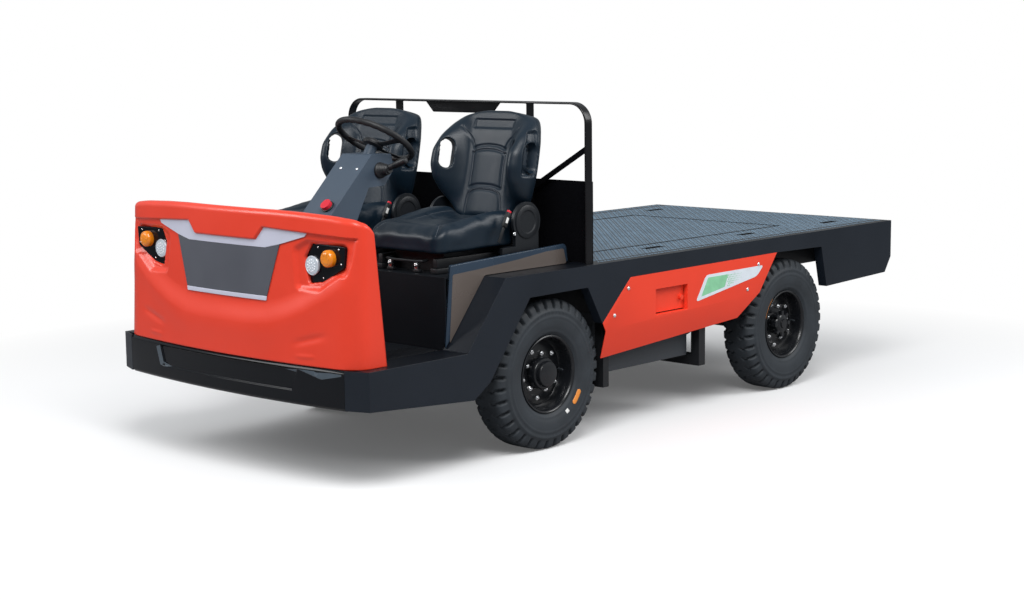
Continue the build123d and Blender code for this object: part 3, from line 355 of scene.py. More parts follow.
def lathe(profile, count):
    """A closed form turned about Z from (radius, height) points."""
    verts = []
    rings = []
    for radius, height in profile:
        if radius < 1e-6:
            rings.append([len(verts)])
            verts.append((0.0, 0.0, height))
            continue
        rings.append(list(range(len(verts), len(verts) + count)))
        verts += [(radius * math.cos(a), radius * math.sin(a), height) for a in angles(count)]
    faces = []
    for low, high in zip(rings, rings[1:]):
        for i in range(count):
            j = (i + 1) % count
            if len(low) == 1:
                faces.append([low[0], high[j], high[i]])
            elif len(high) == 1:
                faces.append([low[i], low[j], high[0]])
            else:
                faces.append([low[i], low[j], high[j], high[i]])
    faces += [ring for ring in (rings[0], rings[-1]) if len(ring) > 1]
    return verts, faces


def block(size, edge, segments=2):
    """A box about the origin with rounded edges."""
    work = bmesh.new()
    bmesh.ops.create_cube(work, size=1.0)
    for vert in work.verts:
        vert.co = Vector(c * s for c, s in zip(vert.co, size))
    bmesh.ops.bevel(work, geom=work.edges[:], offset=edge, segments=segments, affect="EDGES", profile=0.5)
    work.verts.index_update()
    form = [tuple(v.co) for v in work.verts], [[v.index for v in f.verts] for f in work.faces]
    work.free()
    return form


def tube(points, radius, sides):
    """A round tube along points; the radius is one number or one for each point."""
    points = [Vector(p) for p in points]
    last = len(points) - 1
    radii = list(radius) if hasattr(radius, "__len__") else [radius] * len(points)
    verts = []
    normal = None
    for i, point in enumerate(points):
        ahead = (points[min(i + 1, last)] - points[max(i - 1, 0)]).normalized()
        if normal is None:
            normal = ahead.orthogonal().normalized()
        normal = (normal - ahead * normal.dot(ahead)).normalized()
        across = ahead.cross(normal)
        for angle in angles(sides):
            verts.append(point + radii[i] * (math.cos(angle) * normal + math.sin(angle) * across))
    return verts, sleeve_faces(len(points), sides)


def film(points, lift):
    """A thin sheet with a wall around it, from points and their outward shift."""
    count = len(points)
    faces = [list(range(count, 2 * count)), list(range(count))[::-1]]
    return list(points) + [p + lift for p in points], faces + grid_faces(2, count, wrap=True)


def axis_frame(place, axis):
    """A matrix that puts a form's +Z along axis at place."""
    return at(place) @ Vector(axis).to_track_quat("Z", "Y").to_matrix().to_4x4()


def polar(angle, radius, height):
    """A shift by a radius at an angle about Z, and by a height."""
    return at((radius * math.cos(angle), radius * math.sin(angle), height))


def turned(angle):
    return Matrix.Rotation(angle, 4, "Z")


def scaled(profile, size):
    return [(radius * size, height * size) for radius, height in profile]


# Lines and distances in a plane

def smoothstep(low, high, value):
    t = np.clip((value - low) / (high - low), 0.0, 1.0)
    return t * t * (3 - 2 * t)


def bump_at(value, width, power=2):
    """A hump of height 1 that falls off over this width."""
    return np.exp(-(value / width) ** power)


def eased(line, rounds):
    """A run of values or points with its corners rounded and its ends kept."""
    for _ in range(rounds):
        line[1:-1] = 0.25 * line[:-2] + 0.5 * line[1:-1] + 0.25 * line[2:]
    return line


def run_length(line):
    """How far along a line each of its points lies."""
    return np.concatenate(((0.0,), np.cumsum(np.linalg.norm(np.diff(line, axis=0), axis=1))))


def even_points(line, count):
    """Points at even steps along a line."""
    run = run_length(line)
    spots = np.linspace(0.0, run[-1], count)
    return np.column_stack([np.interp(spots, run, line[:, k]) for k in (0, 1)])


def smooth_run(points, count):
    """A rounded run through points, with its corners cut three times."""
    line = np.array(points, float)
    for _ in range(3):
        mids = np.empty((2 * len(line) - 2, 2))
        mids[0::2] = 0.75 * line[:-1] + 0.25 * line[1:]
        mids[1::2] = 0.25 * line[:-1] + 0.75 * line[1:]
        line = np.vstack((line[:1], mids, line[-1:]))
    return even_points(line, count)


def run_distance(points, u, w):
    """Distance in the plane to a run of straight lines."""
    best = np.full(u.shape, 1e9)
    for (u0, w0), (u1, w1) in zip(points[:-1], points[1:]):
        du, dw = u1 - u0, w1 - w0
        t = np.clip(((u - u0) * du + (w - w0) * dw) / max(du * du + dw * dw, 1e-12), 0, 1)
        best = np.minimum(best, np.hypot(u - u0 - t * du, w - w0 - t * dw))
    return best


def inside_distance(corners, u, w):
    """Signed distance in the plane to a polygon, positive inside."""
    ring = [*corners, corners[0]]
    inside = np.zeros(u.shape, bool)
    for (u0, w0), (u1, w1) in zip(ring, ring[1:]):
        if abs(w1 - w0) > 1e-9:
            inside ^= ((w0 > w) != (w1 > w)) & (u < u0 + (w - w0) * (u1 - u0) / (w1 - w0))
    best = run_distance(ring, u, w)
    return np.where(inside, best, -best)


def rounded_corners(corners, radius, count=6):
    """A polygon in the plane with its corners rounded off."""
    outline = []
    total = len(corners)
    for k in range(total):
        here = np.array(corners[k])
        before = np.array(corners[k - 1]) - here
        after = np.array(corners[(k + 1) % total]) - here
        first = here + before / np.linalg.norm(before) * radius
        last = here + after / np.linalg.norm(after) * radius
        for t in np.linspace(0, 1, count):
            outline.append((1 - t) ** 2 * first + 2 * t * (1 - t) * here + t * t * last)
    return outline


def side_spot(tree, turn, x, z):
    """The outer surface of a side at x and z, and its normal."""
    hit = tree.ray_cast(Vector((x, turn * 1.2, z)), Vector((0, -turn, 0)))
    return hit[0], hit[1]


# Front cowl: one moulded skin with a sunk face, brow, lamp scoops and small dents.
COWL_LOW_Z = 0.512
COWL_TOP_Z = 1.118
COWL_WALL = 0.005
# Columns: rear edge x, half width, corner start x, corner end x, corner end y, nose x.
COWL_LOW = np.array((1.767, 0.770, 1.846, 1.946, 0.655, 1.992))
COWL_TOP = np.array((1.812, 0.752, 1.838, 1.914, 0.655, 1.968))
HALF_POINTS = 168
CORNER_POINTS = 21
SIDE_POINTS = 8
CORNER_PULL = 0.405
BROW_R = 0.024
BROW_STEPS = 8
FLANGE = 0.040
FLANGE_DROP = 0.008
# The rows are closer above this share of the height.
FINE_FROM = 0.83
COARSE_ROWS = 98
FINE_ROWS = 34
# The top edge on each half: distance around from the middle, and height.
CROWN = np.array(((0.0, 1.130), (0.300, 1.130), (0.440, 1.127), (0.610, 1.119), (0.740, 1.107),
                  (0.805, 1.094), (0.840, 1.083), (0.862, 1.064)))
CROWN_EASE = 12
# The sunk face, and how softly its edge falls below the lamps, above them and at its outer ends.
FACE_HALF = [(0.0, 0.664), (0.150, 0.664), (0.270, 0.674), (0.390, 0.704), (0.500, 0.744), (0.600, 0.794),
             (0.676, 0.848), (0.714, 0.890), (0.734, 0.940), (0.758, 1.036), (0.246, 1.061), (0.199, 1.008),
             (0.0, 1.008)]
FACE_DEPTH = 0.015
FACE_LOW_Z = 0.88
FACE_HIGH_Z = 1.025
FACE_END = 0.66
SOFT_LOW = 0.100
SOFT_HIGH = 0.010
SOFT_END = 0.020
# Cores of the lamp openings and scoops; each is the core grown by its rounding.
BEZEL = [(0.482, 0.944), (0.500, 0.858), (0.560, 0.868), (0.664, 0.924), (0.672, 0.982), (0.510, 0.986)]
BEZEL_ROUND = 0.018
BEZEL_DEPTH = 0.070
BEZEL_SLOPE = 0.010
SCOOP = [(0.442, 0.966), (0.454, 0.842), (0.556, 0.842), (0.672, 0.914), (0.678, 0.984), (0.490, 0.990)]
SCOOP_ROUND = 0.034
SCOOP_DEPTH = 0.014
SCOOP_SLOPE = 0.026
# Columns: y, z, half length, half height, tilt in degrees, depth of each small dent.
DENTS = ((0.520, 0.618, 0.085, 0.015, 14.0, 0.0045), (0.500, 0.548, 0.050, 0.008, 2.0, -0.0028))
# A faint swelling that climbs outwards: its height in the middle, climb, width and height of relief.
CREST_Z = 0.632
CREST_CLIMB = 0.20
CREST_W = 0.060
CREST_H = 0.0030


def cowl_outline():
    """One half of the cowl's section at its foot and at its top, as equal numbers of points."""
    halves = []
    nose_points = HALF_POINTS - CORNER_POINTS - SIDE_POINTS
    for back_x, half, turn_x, front_x, front_y, nose_x in (COWL_LOW, COWL_TOP):
        bow = nose_x - front_x
        points = [(nose_x - bow * t ** 2, front_y * t) for t in np.arange(nose_points) / nose_points]
        start = np.array((front_x, front_y))
        slope = np.array((-2 * bow / front_y, 1.0))
        end = np.array((turn_x, half))
        pull = np.linalg.norm(end - start) * CORNER_PULL
        first = start + slope / np.linalg.norm(slope) * pull
        second = end + np.array((pull, 0.0))
        for t in np.arange(CORNER_POINTS) / CORNER_POINTS:
            points.append((1 - t) ** 3 * start + 3 * (1 - t) ** 2 * t * first
                          + 3 * (1 - t) * t * t * second + t ** 3 * end)
        points += [(x, half) for x in np.linspace(turn_x, back_x, SIDE_POINTS)]
        halves.append(np.array(points))
    return halves


def cowl_depth(run, z):
    """How far the skin lies behind its plain form, at a distance run from the middle and a height z."""
    face = inside_distance(FACE_HALF + [(-u, w) for u, w in FACE_HALF[::-1][1:-1]], run, z)
    soft = np.where(z < FACE_LOW_Z, SOFT_LOW, SOFT_HIGH)
    soft = np.where((z > FACE_LOW_Z) & (z < FACE_HIGH_Z) & (run > FACE_END), SOFT_END, soft)
    depth = FACE_DEPTH * smoothstep(-0.15 * soft, 0.85 * soft, face)
    depth += SCOOP_DEPTH * smoothstep(0.0, SCOOP_SLOPE, inside_distance(SCOOP, run, z) + SCOOP_ROUND)
    depth += BEZEL_DEPTH * smoothstep(0.0, BEZEL_SLOPE, inside_distance(BEZEL, run, z) + BEZEL_ROUND)
    for dent_at, dent_z, length, height, tilt, deep in DENTS:
        cos, sin = math.cos(math.radians(tilt)), math.sin(math.radians(tilt))
        u = (run - dent_at) * cos + (z - dent_z) * sin
        w = (z - dent_z) * cos - (run - dent_at) * sin
        depth += deep * bump_at(u, length, 4) * bump_at(w, height)
    crest = CREST_Z + CREST_CLIMB * smoothstep(0.22, 0.74, run)
    return depth - CREST_H * bump_at(z - crest, CREST_W) * smoothstep(0.78, 0.70, run)


def cowl_row(run, outer, z, inset):
    """One row of the skin from its right end around to its left."""
    ahead = np.gradient(outer, axis=0)
    normal = np.stack((ahead[:, 1], -ahead[:, 0]), 1)
    normal[0] = (1.0, 0.0)
    normal /= np.linalg.norm(normal, axis=1)[:, None]
    depth = inset if inset else cowl_depth(run, z)[:, None]
    half = np.column_stack((outer - normal * depth, z))
    return np.vstack(((half * (1, -1, 1))[::-1][:-1], half))


def make_cowl():
    low, top = cowl_outline()
    run = run_length((low + top) / 2)
    crown = eased(np.interp(run, *CROWN.T), CROWN_EASE)
    coarse = np.linspace(0.0, FINE_FROM, COARSE_ROWS)[:-1]
    rows = []
    for level in (*coarse, *np.linspace(FINE_FROM, 1.0, FINE_ROWS)):
        z = COWL_LOW_Z + level * (crown - BROW_R - COWL_LOW_Z)
        share = (z - COWL_LOW_Z) / (COWL_TOP_Z - COWL_LOW_Z)
        brow = low + (top - low) * share[:, None]
        rows.append(cowl_row(run, brow, z, 0.0))
    steps = np.arange(1, BROW_STEPS + 1) / BROW_STEPS
    for turn in steps * math.pi / 2:
        z = crown - BROW_R * (1 - math.sin(turn))
        rows.append(cowl_row(run, brow, z, BROW_R * (1 - math.cos(turn))))
    for step in steps:
        rows.append(cowl_row(run, brow, crown - FLANGE_DROP * step ** 2, BROW_R + FLANGE * step))
    mesh = new_mesh("cowl_skin", np.vstack(rows), grid_faces(len(rows), len(rows[0])))
    skin = make_piece(mesh, "cowl_skin", RED)
    wall = skin.modifiers.new("wall", "SOLIDIFY")
    wall.thickness = COWL_WALL
    wall.offset = -1.0
    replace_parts(skin, "front_cowl")


# Lighter films at the ends of the bumper's panel, painted highlights where its slanted faces catch the light:
# y and z of their corners, on its bowed front.
FACET_HIGHLIGHTS = (
    ((-0.492, 0.486), (-0.462, 0.496), (-0.438, 0.424), (-0.379, 0.409), (-0.428, 0.404), (-0.464, 0.408)),
    ((0.387, 0.489), (0.477, 0.496), (0.698, 0.496), (0.698, 0.488), (0.596, 0.466)),
)
HIGHLIGHT_SUNK = Vector((0.0006, 0, 0))
HIGHLIGHT_LIFT = Vector((0.0016, 0, 0))


def make_facet_highlights():
    highlights = Shape()
    tree = surface_tree(nodes["front_bumper"].data)
    start_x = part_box("front_bumper")[1].x + 0.2
    for corners in FACET_HIGHLIGHTS:
        hits = [tree.ray_cast(Vector((start_x, y, z)), -FORWARD) for y, z in corners]
        highlights.add(film([hit[0] - HIGHLIGHT_SUNK for hit in hits], HIGHLIGHT_LIFT))
    highlights.piece("bumper_painted_highlights", FACET_HIGHLIGHT, "gloss_black", smooth=False)


# Lamps: places across and up, and profiles as radius and height.
LAMP_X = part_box("headlamps")[1].x - 0.014
LENS_AT = (0.503, 0.915)
LENS_FORM = ((0.0, -0.004), (0.036, -0.004), (0.038, 0.004), (0.040, 0.010), (0.038, 0.013), (0.035, 0.0135),
             (0.0335, 0.0115), (0.0330, 0.0125), (0.024, 0.0145), (0.012, 0.0155), (0.0, 0.016))
LED_FORM = ((0.0, 0.0), (0.0032, 0.0), (0.0030, 0.0014), (0.0018, 0.0024), (0.0, 0.0028))
LED_Z = 0.0142
# Rings of light points in a lens: radius and number.
LED_RINGS = ((0, 1), (0.0115, 6), (0.0225, 12))
LED_TWIST = 20
SIGNAL_AT = (0.604, 0.950)
SIGNAL_FORM = ((0.0, -0.004), (0.034, -0.004), (0.0352, 0.004), (0.0350, 0.017), (0.033, 0.024),
               (0.028, 0.0285), (0.0255, 0.0280), (0.0245, 0.0290), (0.016, 0.0298), (0.0, 0.0300))
SIGNAL_RIBS = 6
SIGNAL_RIB = (0.012, 0.004, 0.002)
SIGNAL_RIB_AT = (0.018, 0.0295)
LAMP_SIDES = 40


def lamp_frame(turn, place):
    return axis_frame((LAMP_X, turn * place[0], place[1]), FORWARD)


def make_lamps():
    lenses = Shape()
    dots = Shape()
    signals = Shape()
    for turn in SIDE.values():
        where = lamp_frame(turn, LENS_AT)
        lenses.add(lathe(LENS_FORM, LAMP_SIDES), where)
        for radius, count in LED_RINGS:
            for angle in angles(count):
                spot = polar(angle + radius * LED_TWIST, radius, LED_Z)
                dots.add(lathe(LED_FORM, 10), where @ spot)
        where = lamp_frame(turn, SIGNAL_AT)
        signals.add(lathe(SIGNAL_FORM, LAMP_SIDES), where)
        for angle in angles(SIGNAL_RIBS):
            spot = polar(angle, *SIGNAL_RIB_AT) @ turned(angle)
            signals.add(block(SIGNAL_RIB, 0.0008, 1), where @ spot)
    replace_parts(lenses.piece("headlamp_lenses", LENS, "lens"), "headlamps")
    dots.piece("headlamp_dots", LED, "lens")
    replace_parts(signals.piece("turn_signal_domes", AMBER, "amber"), "turn_signals")


# Tyres: moulded lugs on both shoulders, a zigzag middle and ringed sidewalls.
LUG_COUNT = 36
LUG_STEPS = 14
LUG_PITCH = 2 * np.pi * AXLE_Z / LUG_COUNT
TYRE_POINTS = 96
# One half of the section: radius and reach from the middle plane.
TYRE_SECTION = ((0.1640, 0.0640), (0.171, 0.0655), (0.178, 0.0700), (0.190, 0.0800), (0.215, 0.0895),
                (0.245, 0.0937), (0.272, 0.0925), (0.296, 0.0880), (0.316, 0.0825), (0.331, 0.0750),
                (0.3365, 0.0640), (0.3378, 0.0400), (0.3380, 0.0))
# Zigzag of the grooves as shares of a pitch, each over a band of reach.
ZIG = 0.20
ZIG_BAND = (0.056, 0.042)
ZAG = 0.14
ZAG_BAND = (0.036, 0.022)
# Half width and depth of the grooves, and how much both grow at the shoulder.
GROOVE_W = 0.0040
GROOVE_FLARE = 0.0036
FLARE_BAND = (0.055, 0.070)
GROOVE_SOFT = 0.0022
GROOVE_DEPTH = 0.010
GROOVE_DEEPER = 0.012
DEEPER_BAND = (0.050, 0.070)
# Where the grooves start out of the middle, and on the sidewall.
GROOVE_IN = (0.016, 0.022)
GROOVE_FOOT = (0.294, 0.301)
# Raised rings on the sidewall: radius, width, height.
TYRE_RINGS = ((0.192, 0.005, 0.0022), (0.259, 0.0035, 0.0028), (0.283, 0.006, 0.0045))
RIB_H = 0.0008
RIB_SHARE = 0.12
RIB_IN = (0.268, 0.272)
RIB_OUT = (0.285, 0.281)


def tyre_profile():
    half = np.array(TYRE_SECTION)
    line = np.vstack((half, (half * (1, -1))[::-1][1:]))
    return eased(even_points(line, TYRE_POINTS), 3)


def tyre_depth(theta, radius, reach):
    """How deep the grooves lie below the plain form, less the raised rings and ribs."""
    out = np.abs(reach)
    lugs = theta[None, :] / (2 * np.pi) * LUG_COUNT
    stagger = np.where(reach > 0, 0.0, 0.5)
    step = ZIG * smoothstep(*ZIG_BAND, out) - ZAG * smoothstep(*ZAG_BAND, out)
    gap = np.abs((lugs + stagger + step) % 1.0 - 0.5) * LUG_PITCH
    wide = GROOVE_W + GROOVE_FLARE * smoothstep(*FLARE_BAND, out)
    notch = 1 - smoothstep(wide - GROOVE_SOFT, wide + GROOVE_SOFT, gap)
    zone = smoothstep(*GROOVE_IN, out) * smoothstep(*GROOVE_FOOT, radius)
    depth = (GROOVE_DEPTH + GROOVE_DEEPER * smoothstep(*DEEPER_BAND, out)) * notch * zone
    for ring_r, ring_w, ring_h in TYRE_RINGS:
        depth -= ring_h * bump_at(radius - ring_r, ring_w)
    ribs = np.abs(lugs * 2 % 1.0 - 0.5) < RIB_SHARE
    return depth - RIB_H * ribs * smoothstep(*RIB_IN, radius) * smoothstep(*RIB_OUT, radius)


def tyre_points(axle, side, radius, reach, theta):
    """Places on a wheel, by radius, reach out of its middle plane, and angle forward of straight down."""
    x = AXLE_X[axle] + radius * np.sin(theta)
    y = SIDE[side] * (WHEEL_Y + reach)
    return np.stack((x, y, AXLE_Z - radius * np.cos(theta)), -1).reshape(-1, 3)


def make_tyre(axle, side):
    profile = tyre_profile()
    along = np.gradient(profile, axis=0)
    normal = np.column_stack((-along[:, 1], along[:, 0]))
    normal /= np.linalg.norm(normal, axis=1)[:, None]
    count = LUG_COUNT * LUG_STEPS
    theta = np.linspace(0, 2 * np.pi, count, endpoint=False)
    radius, reach = (np.repeat(profile[:, k:k + 1], count, 1) for k in (0, 1))
    depth = tyre_depth(theta, radius, reach)
    points = tyre_points(axle, side, radius - depth * normal[:, :1], reach - depth * normal[:, 1:], theta)
    name = f"tyre_{axle}_{side}"
    mesh = turn_out(new_mesh(name, points, grid_faces(len(profile), count, wrap=True, ring=True)))
    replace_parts(make_piece(mesh, f"{name}_lugged", RUBBER, f"wheel_{axle}_{side}"), name)


# Stickers on the near tyres: axle, side, degrees forward of straight down, radius, length, width, finish.
STICKERS = (
    ("front", "left", -54.0, 0.214, 0.074, 0.021, ORANGE),
    ("front", "left", -31.0, 0.211, 0.019, 0.017, TAG),
    ("rear", "left", -238.0, 0.186, 0.110, 0.009, ORANGE),
)
STICKER_ROWS = 5
STICKER_COLUMNS = 21
STICKER_LIFT = 0.0014
STICKER_THICK = 0.0008
# A sticker wider than this, and more than twice as long as wide, has round ends.
ROUND_FROM = 0.010
ROUND_LEAST = 0.12
# What a sticker adds to its lift over the innermost ring.
RING_LIFT = 0.0026


def make_stickers():
    profile = tyre_profile()[:TYRE_POINTS // 2]
    ring_r, ring_w, _ = TYRE_RINGS[0]
    u = np.linspace(-0.5, 0.5, STICKER_COLUMNS)[None, :]
    v = np.linspace(-0.5, 0.5, STICKER_ROWS)[:, None]
    for index, (axle, side, angle, middle, length, width, mat) in enumerate(STICKERS):
        trim = np.ones_like(u)
        if length > 2 * width > 2 * ROUND_FROM:
            end = np.maximum(0.0, np.abs(u) * length - (length - width) / 2)
            trim = np.sqrt(np.maximum(0.0, 1 - (end / (width / 2)) ** 2))
        radius = middle + v * width * np.maximum(ROUND_LEAST, trim)
        theta = math.radians(angle) + u * length / middle
        reach = np.interp(radius, *profile.T) + RING_LIFT * bump_at(radius - ring_r, ring_w) + STICKER_LIFT
        name = f"tyre_sticker_{index}"
        points = tyre_points(axle, side, radius, reach, theta + 0 * v)
        mesh = new_mesh(name, points, grid_faces(STICKER_ROWS, STICKER_COLUMNS))
        piece = make_piece(mesh, name, mat, f"wheel_{axle}_{side}")
        thick = piece.modifiers.new("thick", "SOLIDIFY")
        thick.thickness = STICKER_THICK


# Wheels. The rim's section is radius and reach out of the wheel's middle plane.
RIM_SECTION = ((0.0, 0.012), (0.066, 0.011), (0.124, 0.010), (0.138, 0.004), (0.150, 0.001), (0.1555, 0.008),
               (0.1575, 0.030), (0.1590, 0.056), (0.1625, 0.068), (0.1665, 0.0752), (0.1705, 0.0770),
               (0.1745, 0.0752), (0.1760, 0.0690), (0.1730, 0.0645), (0.1660, 0.0620), (0.1650, 0.020),
               (0.1650, -0.020), (0.1660, -0.0620), (0.1730, -0.0645), (0.1760, -0.0690), (0.1745, -0.0752),
               (0.1705, -0.0770), (0.1665, -0.0752), (0.1590, -0.056), (0.1555, -0.010), (0.140, -0.004),
               (0.060, -0.003), (0.052, -0.030), (0.0, -0.030))
NUT = ((0.0, 0.0), (0.0125, 0.0), (0.0125, 0.010), (0.0105, 0.0125), (0.006, 0.0127), (0.0, 0.0127))
STUD = ((0.0, 0.008), (0.006, 0.008), (0.006, 0.0175), (0.0045, 0.019), (0.0, 0.019))
NUT_COUNT = 10
NUT_CIRCLES = (0.088, 0.112)
NUT_Z = 0.010
HUB_CAPS = {
    "front": ((0.0, 0.008), (0.074, 0.008), (0.072, 0.046), (0.068, 0.052), (0.0595, 0.054), (0.0585, 0.068),
              (0.055, 0.0740), (0.040, 0.0775), (0.016, 0.0795), (0.0, 0.080)),
    "rear": ((0.0, 0.008), (0.056, 0.008), (0.054, 0.040), (0.050, 0.056), (0.044, 0.062), (0.024, 0.064),
             (0.022, 0.070), (0.0, 0.071)),
}
CAP_LUGS = 8
CAP_LUG = (0.032, 0.020, 0.022)
CAP_LUG_AT = (0.052, 0.050)
VALVE = ((0.136, 0.0, 0.012), (0.132, 0.0, 0.030), (0.126, 0.0, 0.046))
VALVE_R = (0.005, 0.0045, 0.0035)


def make_wheel_detail(axle, side):
    """Nuts, hub cap, rim and valve of one wheel."""
    turn = SIDE[side]
    body = f"wheel_{axle}_{side}"
    hub = axis_frame((AXLE_X[axle], turn * WHEEL_Y, AXLE_Z), (0, turn, 0))
    nuts = Shape()
    for k in range(NUT_COUNT):
        angle = 2 * math.pi * (k + 0.25) / NUT_COUNT
        spot = hub @ polar(angle, NUT_CIRCLES[k % 2], NUT_Z)
        nuts.add(lathe(NUT, 6), spot @ turned(angle))
        nuts.add(lathe(STUD, 12), spot)
    nuts.piece(f"wheel_nuts_{axle}_{side}", ZINC, "steel", body)
    cap = Shape().add(lathe(HUB_CAPS[axle], 40), hub)
    if axle == "rear":
        for angle in angles(CAP_LUGS):
            cap.add(block(CAP_LUG, 0.003), hub @ polar(angle, *CAP_LUG_AT) @ turned(angle))
    cap.piece(f"hub_cap_{axle}_{side}", RIM, "rim_black", body)
    rim = Shape().add(lathe(RIM_SECTION, 96), hub)
    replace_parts(rim.piece(f"rim_{axle}_{side}", RIM, "rim_black", body), body)
    stem = tube([hub @ Vector(point) for point in VALVE], VALVE_R, 10)
    Shape().add(stem).piece(f"valve_{axle}_{side}", RUBBER, "tyre", body)


# Deck: rows of raised bars on the plates, painted lighter as a highlight, clear of the seams and slots; a
# dark seal around the cover; and dark sheets of painted shade in the slots.
BAR = ([(-0.5, 0, 0), (-0.2, -0.5, 0), (0.2, -0.5, 0), (0.5, 0, 0), (0.2, 0.5, 0), (-0.2, 0.5, 0),
        (-0.24, 0, 1), (0.24, 0, 1)],
       [[0, 1, 6], [1, 2, 7, 6], [2, 3, 7], [3, 4, 7], [4, 5, 6, 7], [5, 0, 6]])
BAR_SIZE = Matrix.Diagonal((0.0225, 0.0100, 0.0020, 1.0))
BAR_STEP = 0.0245
BAR_TURN = math.radians(45)
TREAD_Y = HALF_W - 0.02
TREAD_LOW_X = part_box("deck_surround")[0].x + 0.02
TREAD_HIGH_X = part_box("deck_cover")[1].x - 0.015
SEAM_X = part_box("deck_cover")[0].x
SEAM_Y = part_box("deck_cover")[1].y
# Clear widths on each side of the seams, edges and slots.
SEAM_CLEAR = 0.012
CROSS_SEAM_CLEAR = 0.013
EDGE_CLEAR = 0.011
SLOT_CLEAR = (0.066, 0.028)
# The guard's posts stand ahead of this x, outside the first y and around the second.
POST_X = 0.44
POST_OUT_Y = 0.70
POST_IN_Y = 0.43
POST_CLEAR = 0.05
SEAL_W = 0.010
SEAL_H = 0.0024
SEAL_OUT = 0.0015
# Dark sheets in the slots, painted shade: size, and how far they sink.
SLOT_SHADE_SIZE = (0.124, 0.030, 0.0030)
SLOT_SHADE_SUNK = 0.0002


def bar_fits(x, out):
    """Whether a bar may stand here, at a distance out from the middle line."""
    near_seam = x > SEAM_X - SEAM_CLEAR and abs(out - SEAM_Y) < SEAM_CLEAR
    near_cross = abs(x - SEAM_X) < CROSS_SEAM_CLEAR and out < SEAM_Y
    near_edge = abs(out - DECK_IN) < EDGE_CLEAR
    beside = abs(out - SLOT_Y) < SLOT_CLEAR[1]
    near_slot = beside and any(abs(x - slot_x) < SLOT_CLEAR[0] for slot_x in SLOTS_X)
    near_post = x > POST_X and (out > POST_OUT_Y or abs(out - POST_IN_Y) < POST_CLEAR)
    return not (near_seam or near_cross or near_edge or near_slot or near_post)


def make_deck_tread():
    tread = Shape()
    for i in range(int((TREAD_HIGH_X - TREAD_LOW_X) / BAR_STEP)):
        for j in range(int(2 * TREAD_Y / BAR_STEP)):
            x = TREAD_LOW_X + (i + 0.5) * BAR_STEP
            y = -TREAD_Y + (j + 0.5) * BAR_STEP
            if bar_fits(x, abs(y)):
                turn = turned(BAR_TURN if (i + j) % 2 else -BAR_TURN)
                tread.add(BAR, at((x, y, DECK_Z)) @ turn @ BAR_SIZE)
    tread.piece("deck_tread_painted_highlight", TREAD_HIGHLIGHT, "deck_grey", sharp=20.0)
    seals = Shape()
    for turn in SIDE.values():
        middle = ((SEAM_X + TREAD_HIGH_X) / 2, turn * (SEAM_Y + SEAL_OUT), DECK_Z)
        seals.add(block((TREAD_HIGH_X - SEAM_X, SEAL_W, SEAL_H), SEAL_H / 3, 1), at(middle))
    across = (SEAL_W, 2 * (SEAM_Y + SEAL_OUT) + SEAL_W, SEAL_H)
    seals.add(block(across, SEAL_H / 3, 1), at((SEAM_X - SEAL_OUT, 0.0, DECK_Z)))
    seals.piece("deck_seals", SLOT_SHADE_AND_SEAL, "trim_black")


# Dark sheets in the deck slots: painted shade.
def make_slot_shades():
    shades = Shape()
    for x in SLOTS_X:
        for turn in SIDE.values():
            shades.add(block(SLOT_SHADE_SIZE, 0.0010, 1), at((x, turn * SLOT_Y, DECK_Z - SLOT_SHADE_SUNK)))
    shades.piece("slot_painted_shades", SLOT_SHADE_AND_SEAL, "trim_black")


# Seats

def node_half(name, keep):
    """The part of a node's mesh on one side, as a new mesh."""
    work = bmesh.new()
    work.from_mesh(nodes[name].data)
    bmesh.ops.remove_doubles(work, verts=work.verts, dist=1e-5)
    gone = [v for v in work.verts if v.co.y * keep < 0]
    bmesh.ops.delete(work, geom=gone, context="VERTS")
    mesh = bpy.data.meshes.new(name + "_half")
    work.to_mesh(mesh)
    work.free()
    return mesh


def evaluated_mesh(obj):
    return bpy.data.meshes.new_from_object(obj.evaluated_get(bpy.context.evaluated_depsgraph_get()))


def remeshed(mesh, voxel, cutter=None):
    """The mesh rebuilt from cubes of this size, less a cutter."""
    obj = bpy.data.objects.new("remesh_work", mesh)
    scene.collection.objects.link(obj)
    if cutter:
        scene.collection.objects.link(cutter)
        hole = obj.modifiers.new("hole", "BOOLEAN")
        hole.operation = "DIFFERENCE"
        hole.solver = "EXACT"
        hole.object = cutter
    cubes = obj.modifiers.new("cubes", "REMESH")
    cubes.mode = "VOXEL"
    cubes.voxel_size = voxel
    result = evaluated_mesh(obj)
    bpy.data.objects.remove(obj)
    if cutter:
        bpy.data.objects.remove(cutter)
    return result


def read_vectors(items, name):
    flat = np.zeros(len(items) * 3)
    items.foreach_get(name, flat)
    return flat.reshape(-1, 3)


def mesh_points(mesh):
    return read_vectors(mesh.vertices, "co")


def mesh_normals(mesh):
    return read_vectors(mesh.vertex_normals, "vector")


def set_points(mesh, points):
    mesh.vertices.foreach_set("co", points.ravel())
    mesh.update()


def shrink(mesh, inset):
    """Draws a mesh in from its box by this much on every side."""
    points = mesh_points(mesh)
    low, high = points.min(0), points.max(0)
    half = (high - low) / 2
    centre = (high + low) / 2
    set_points(mesh, centre + (points - centre) * (half - inset) / half)


RELAX_PULL = 0.5
RELAX_PUSH = -0.52


def relax(mesh, rounds):
    """Smooths a mesh without shrinking it much."""
    edges = np.zeros(len(mesh.edges) * 2, int)
    mesh.edges.foreach_get("vertices", edges)
    edges = edges.reshape(-1, 2)
    points = mesh_points(mesh)
    count = np.bincount(edges.ravel(), minlength=len(points))[:, None]
    for share in (RELAX_PULL, RELAX_PUSH) * rounds:
        total = np.zeros_like(points)
        np.add.at(total, edges[:, 0], points[edges[:, 1]])
        np.add.at(total, edges[:, 1], points[edges[:, 0]])
        points = points + share * (total / count - points)
    set_points(mesh, points)


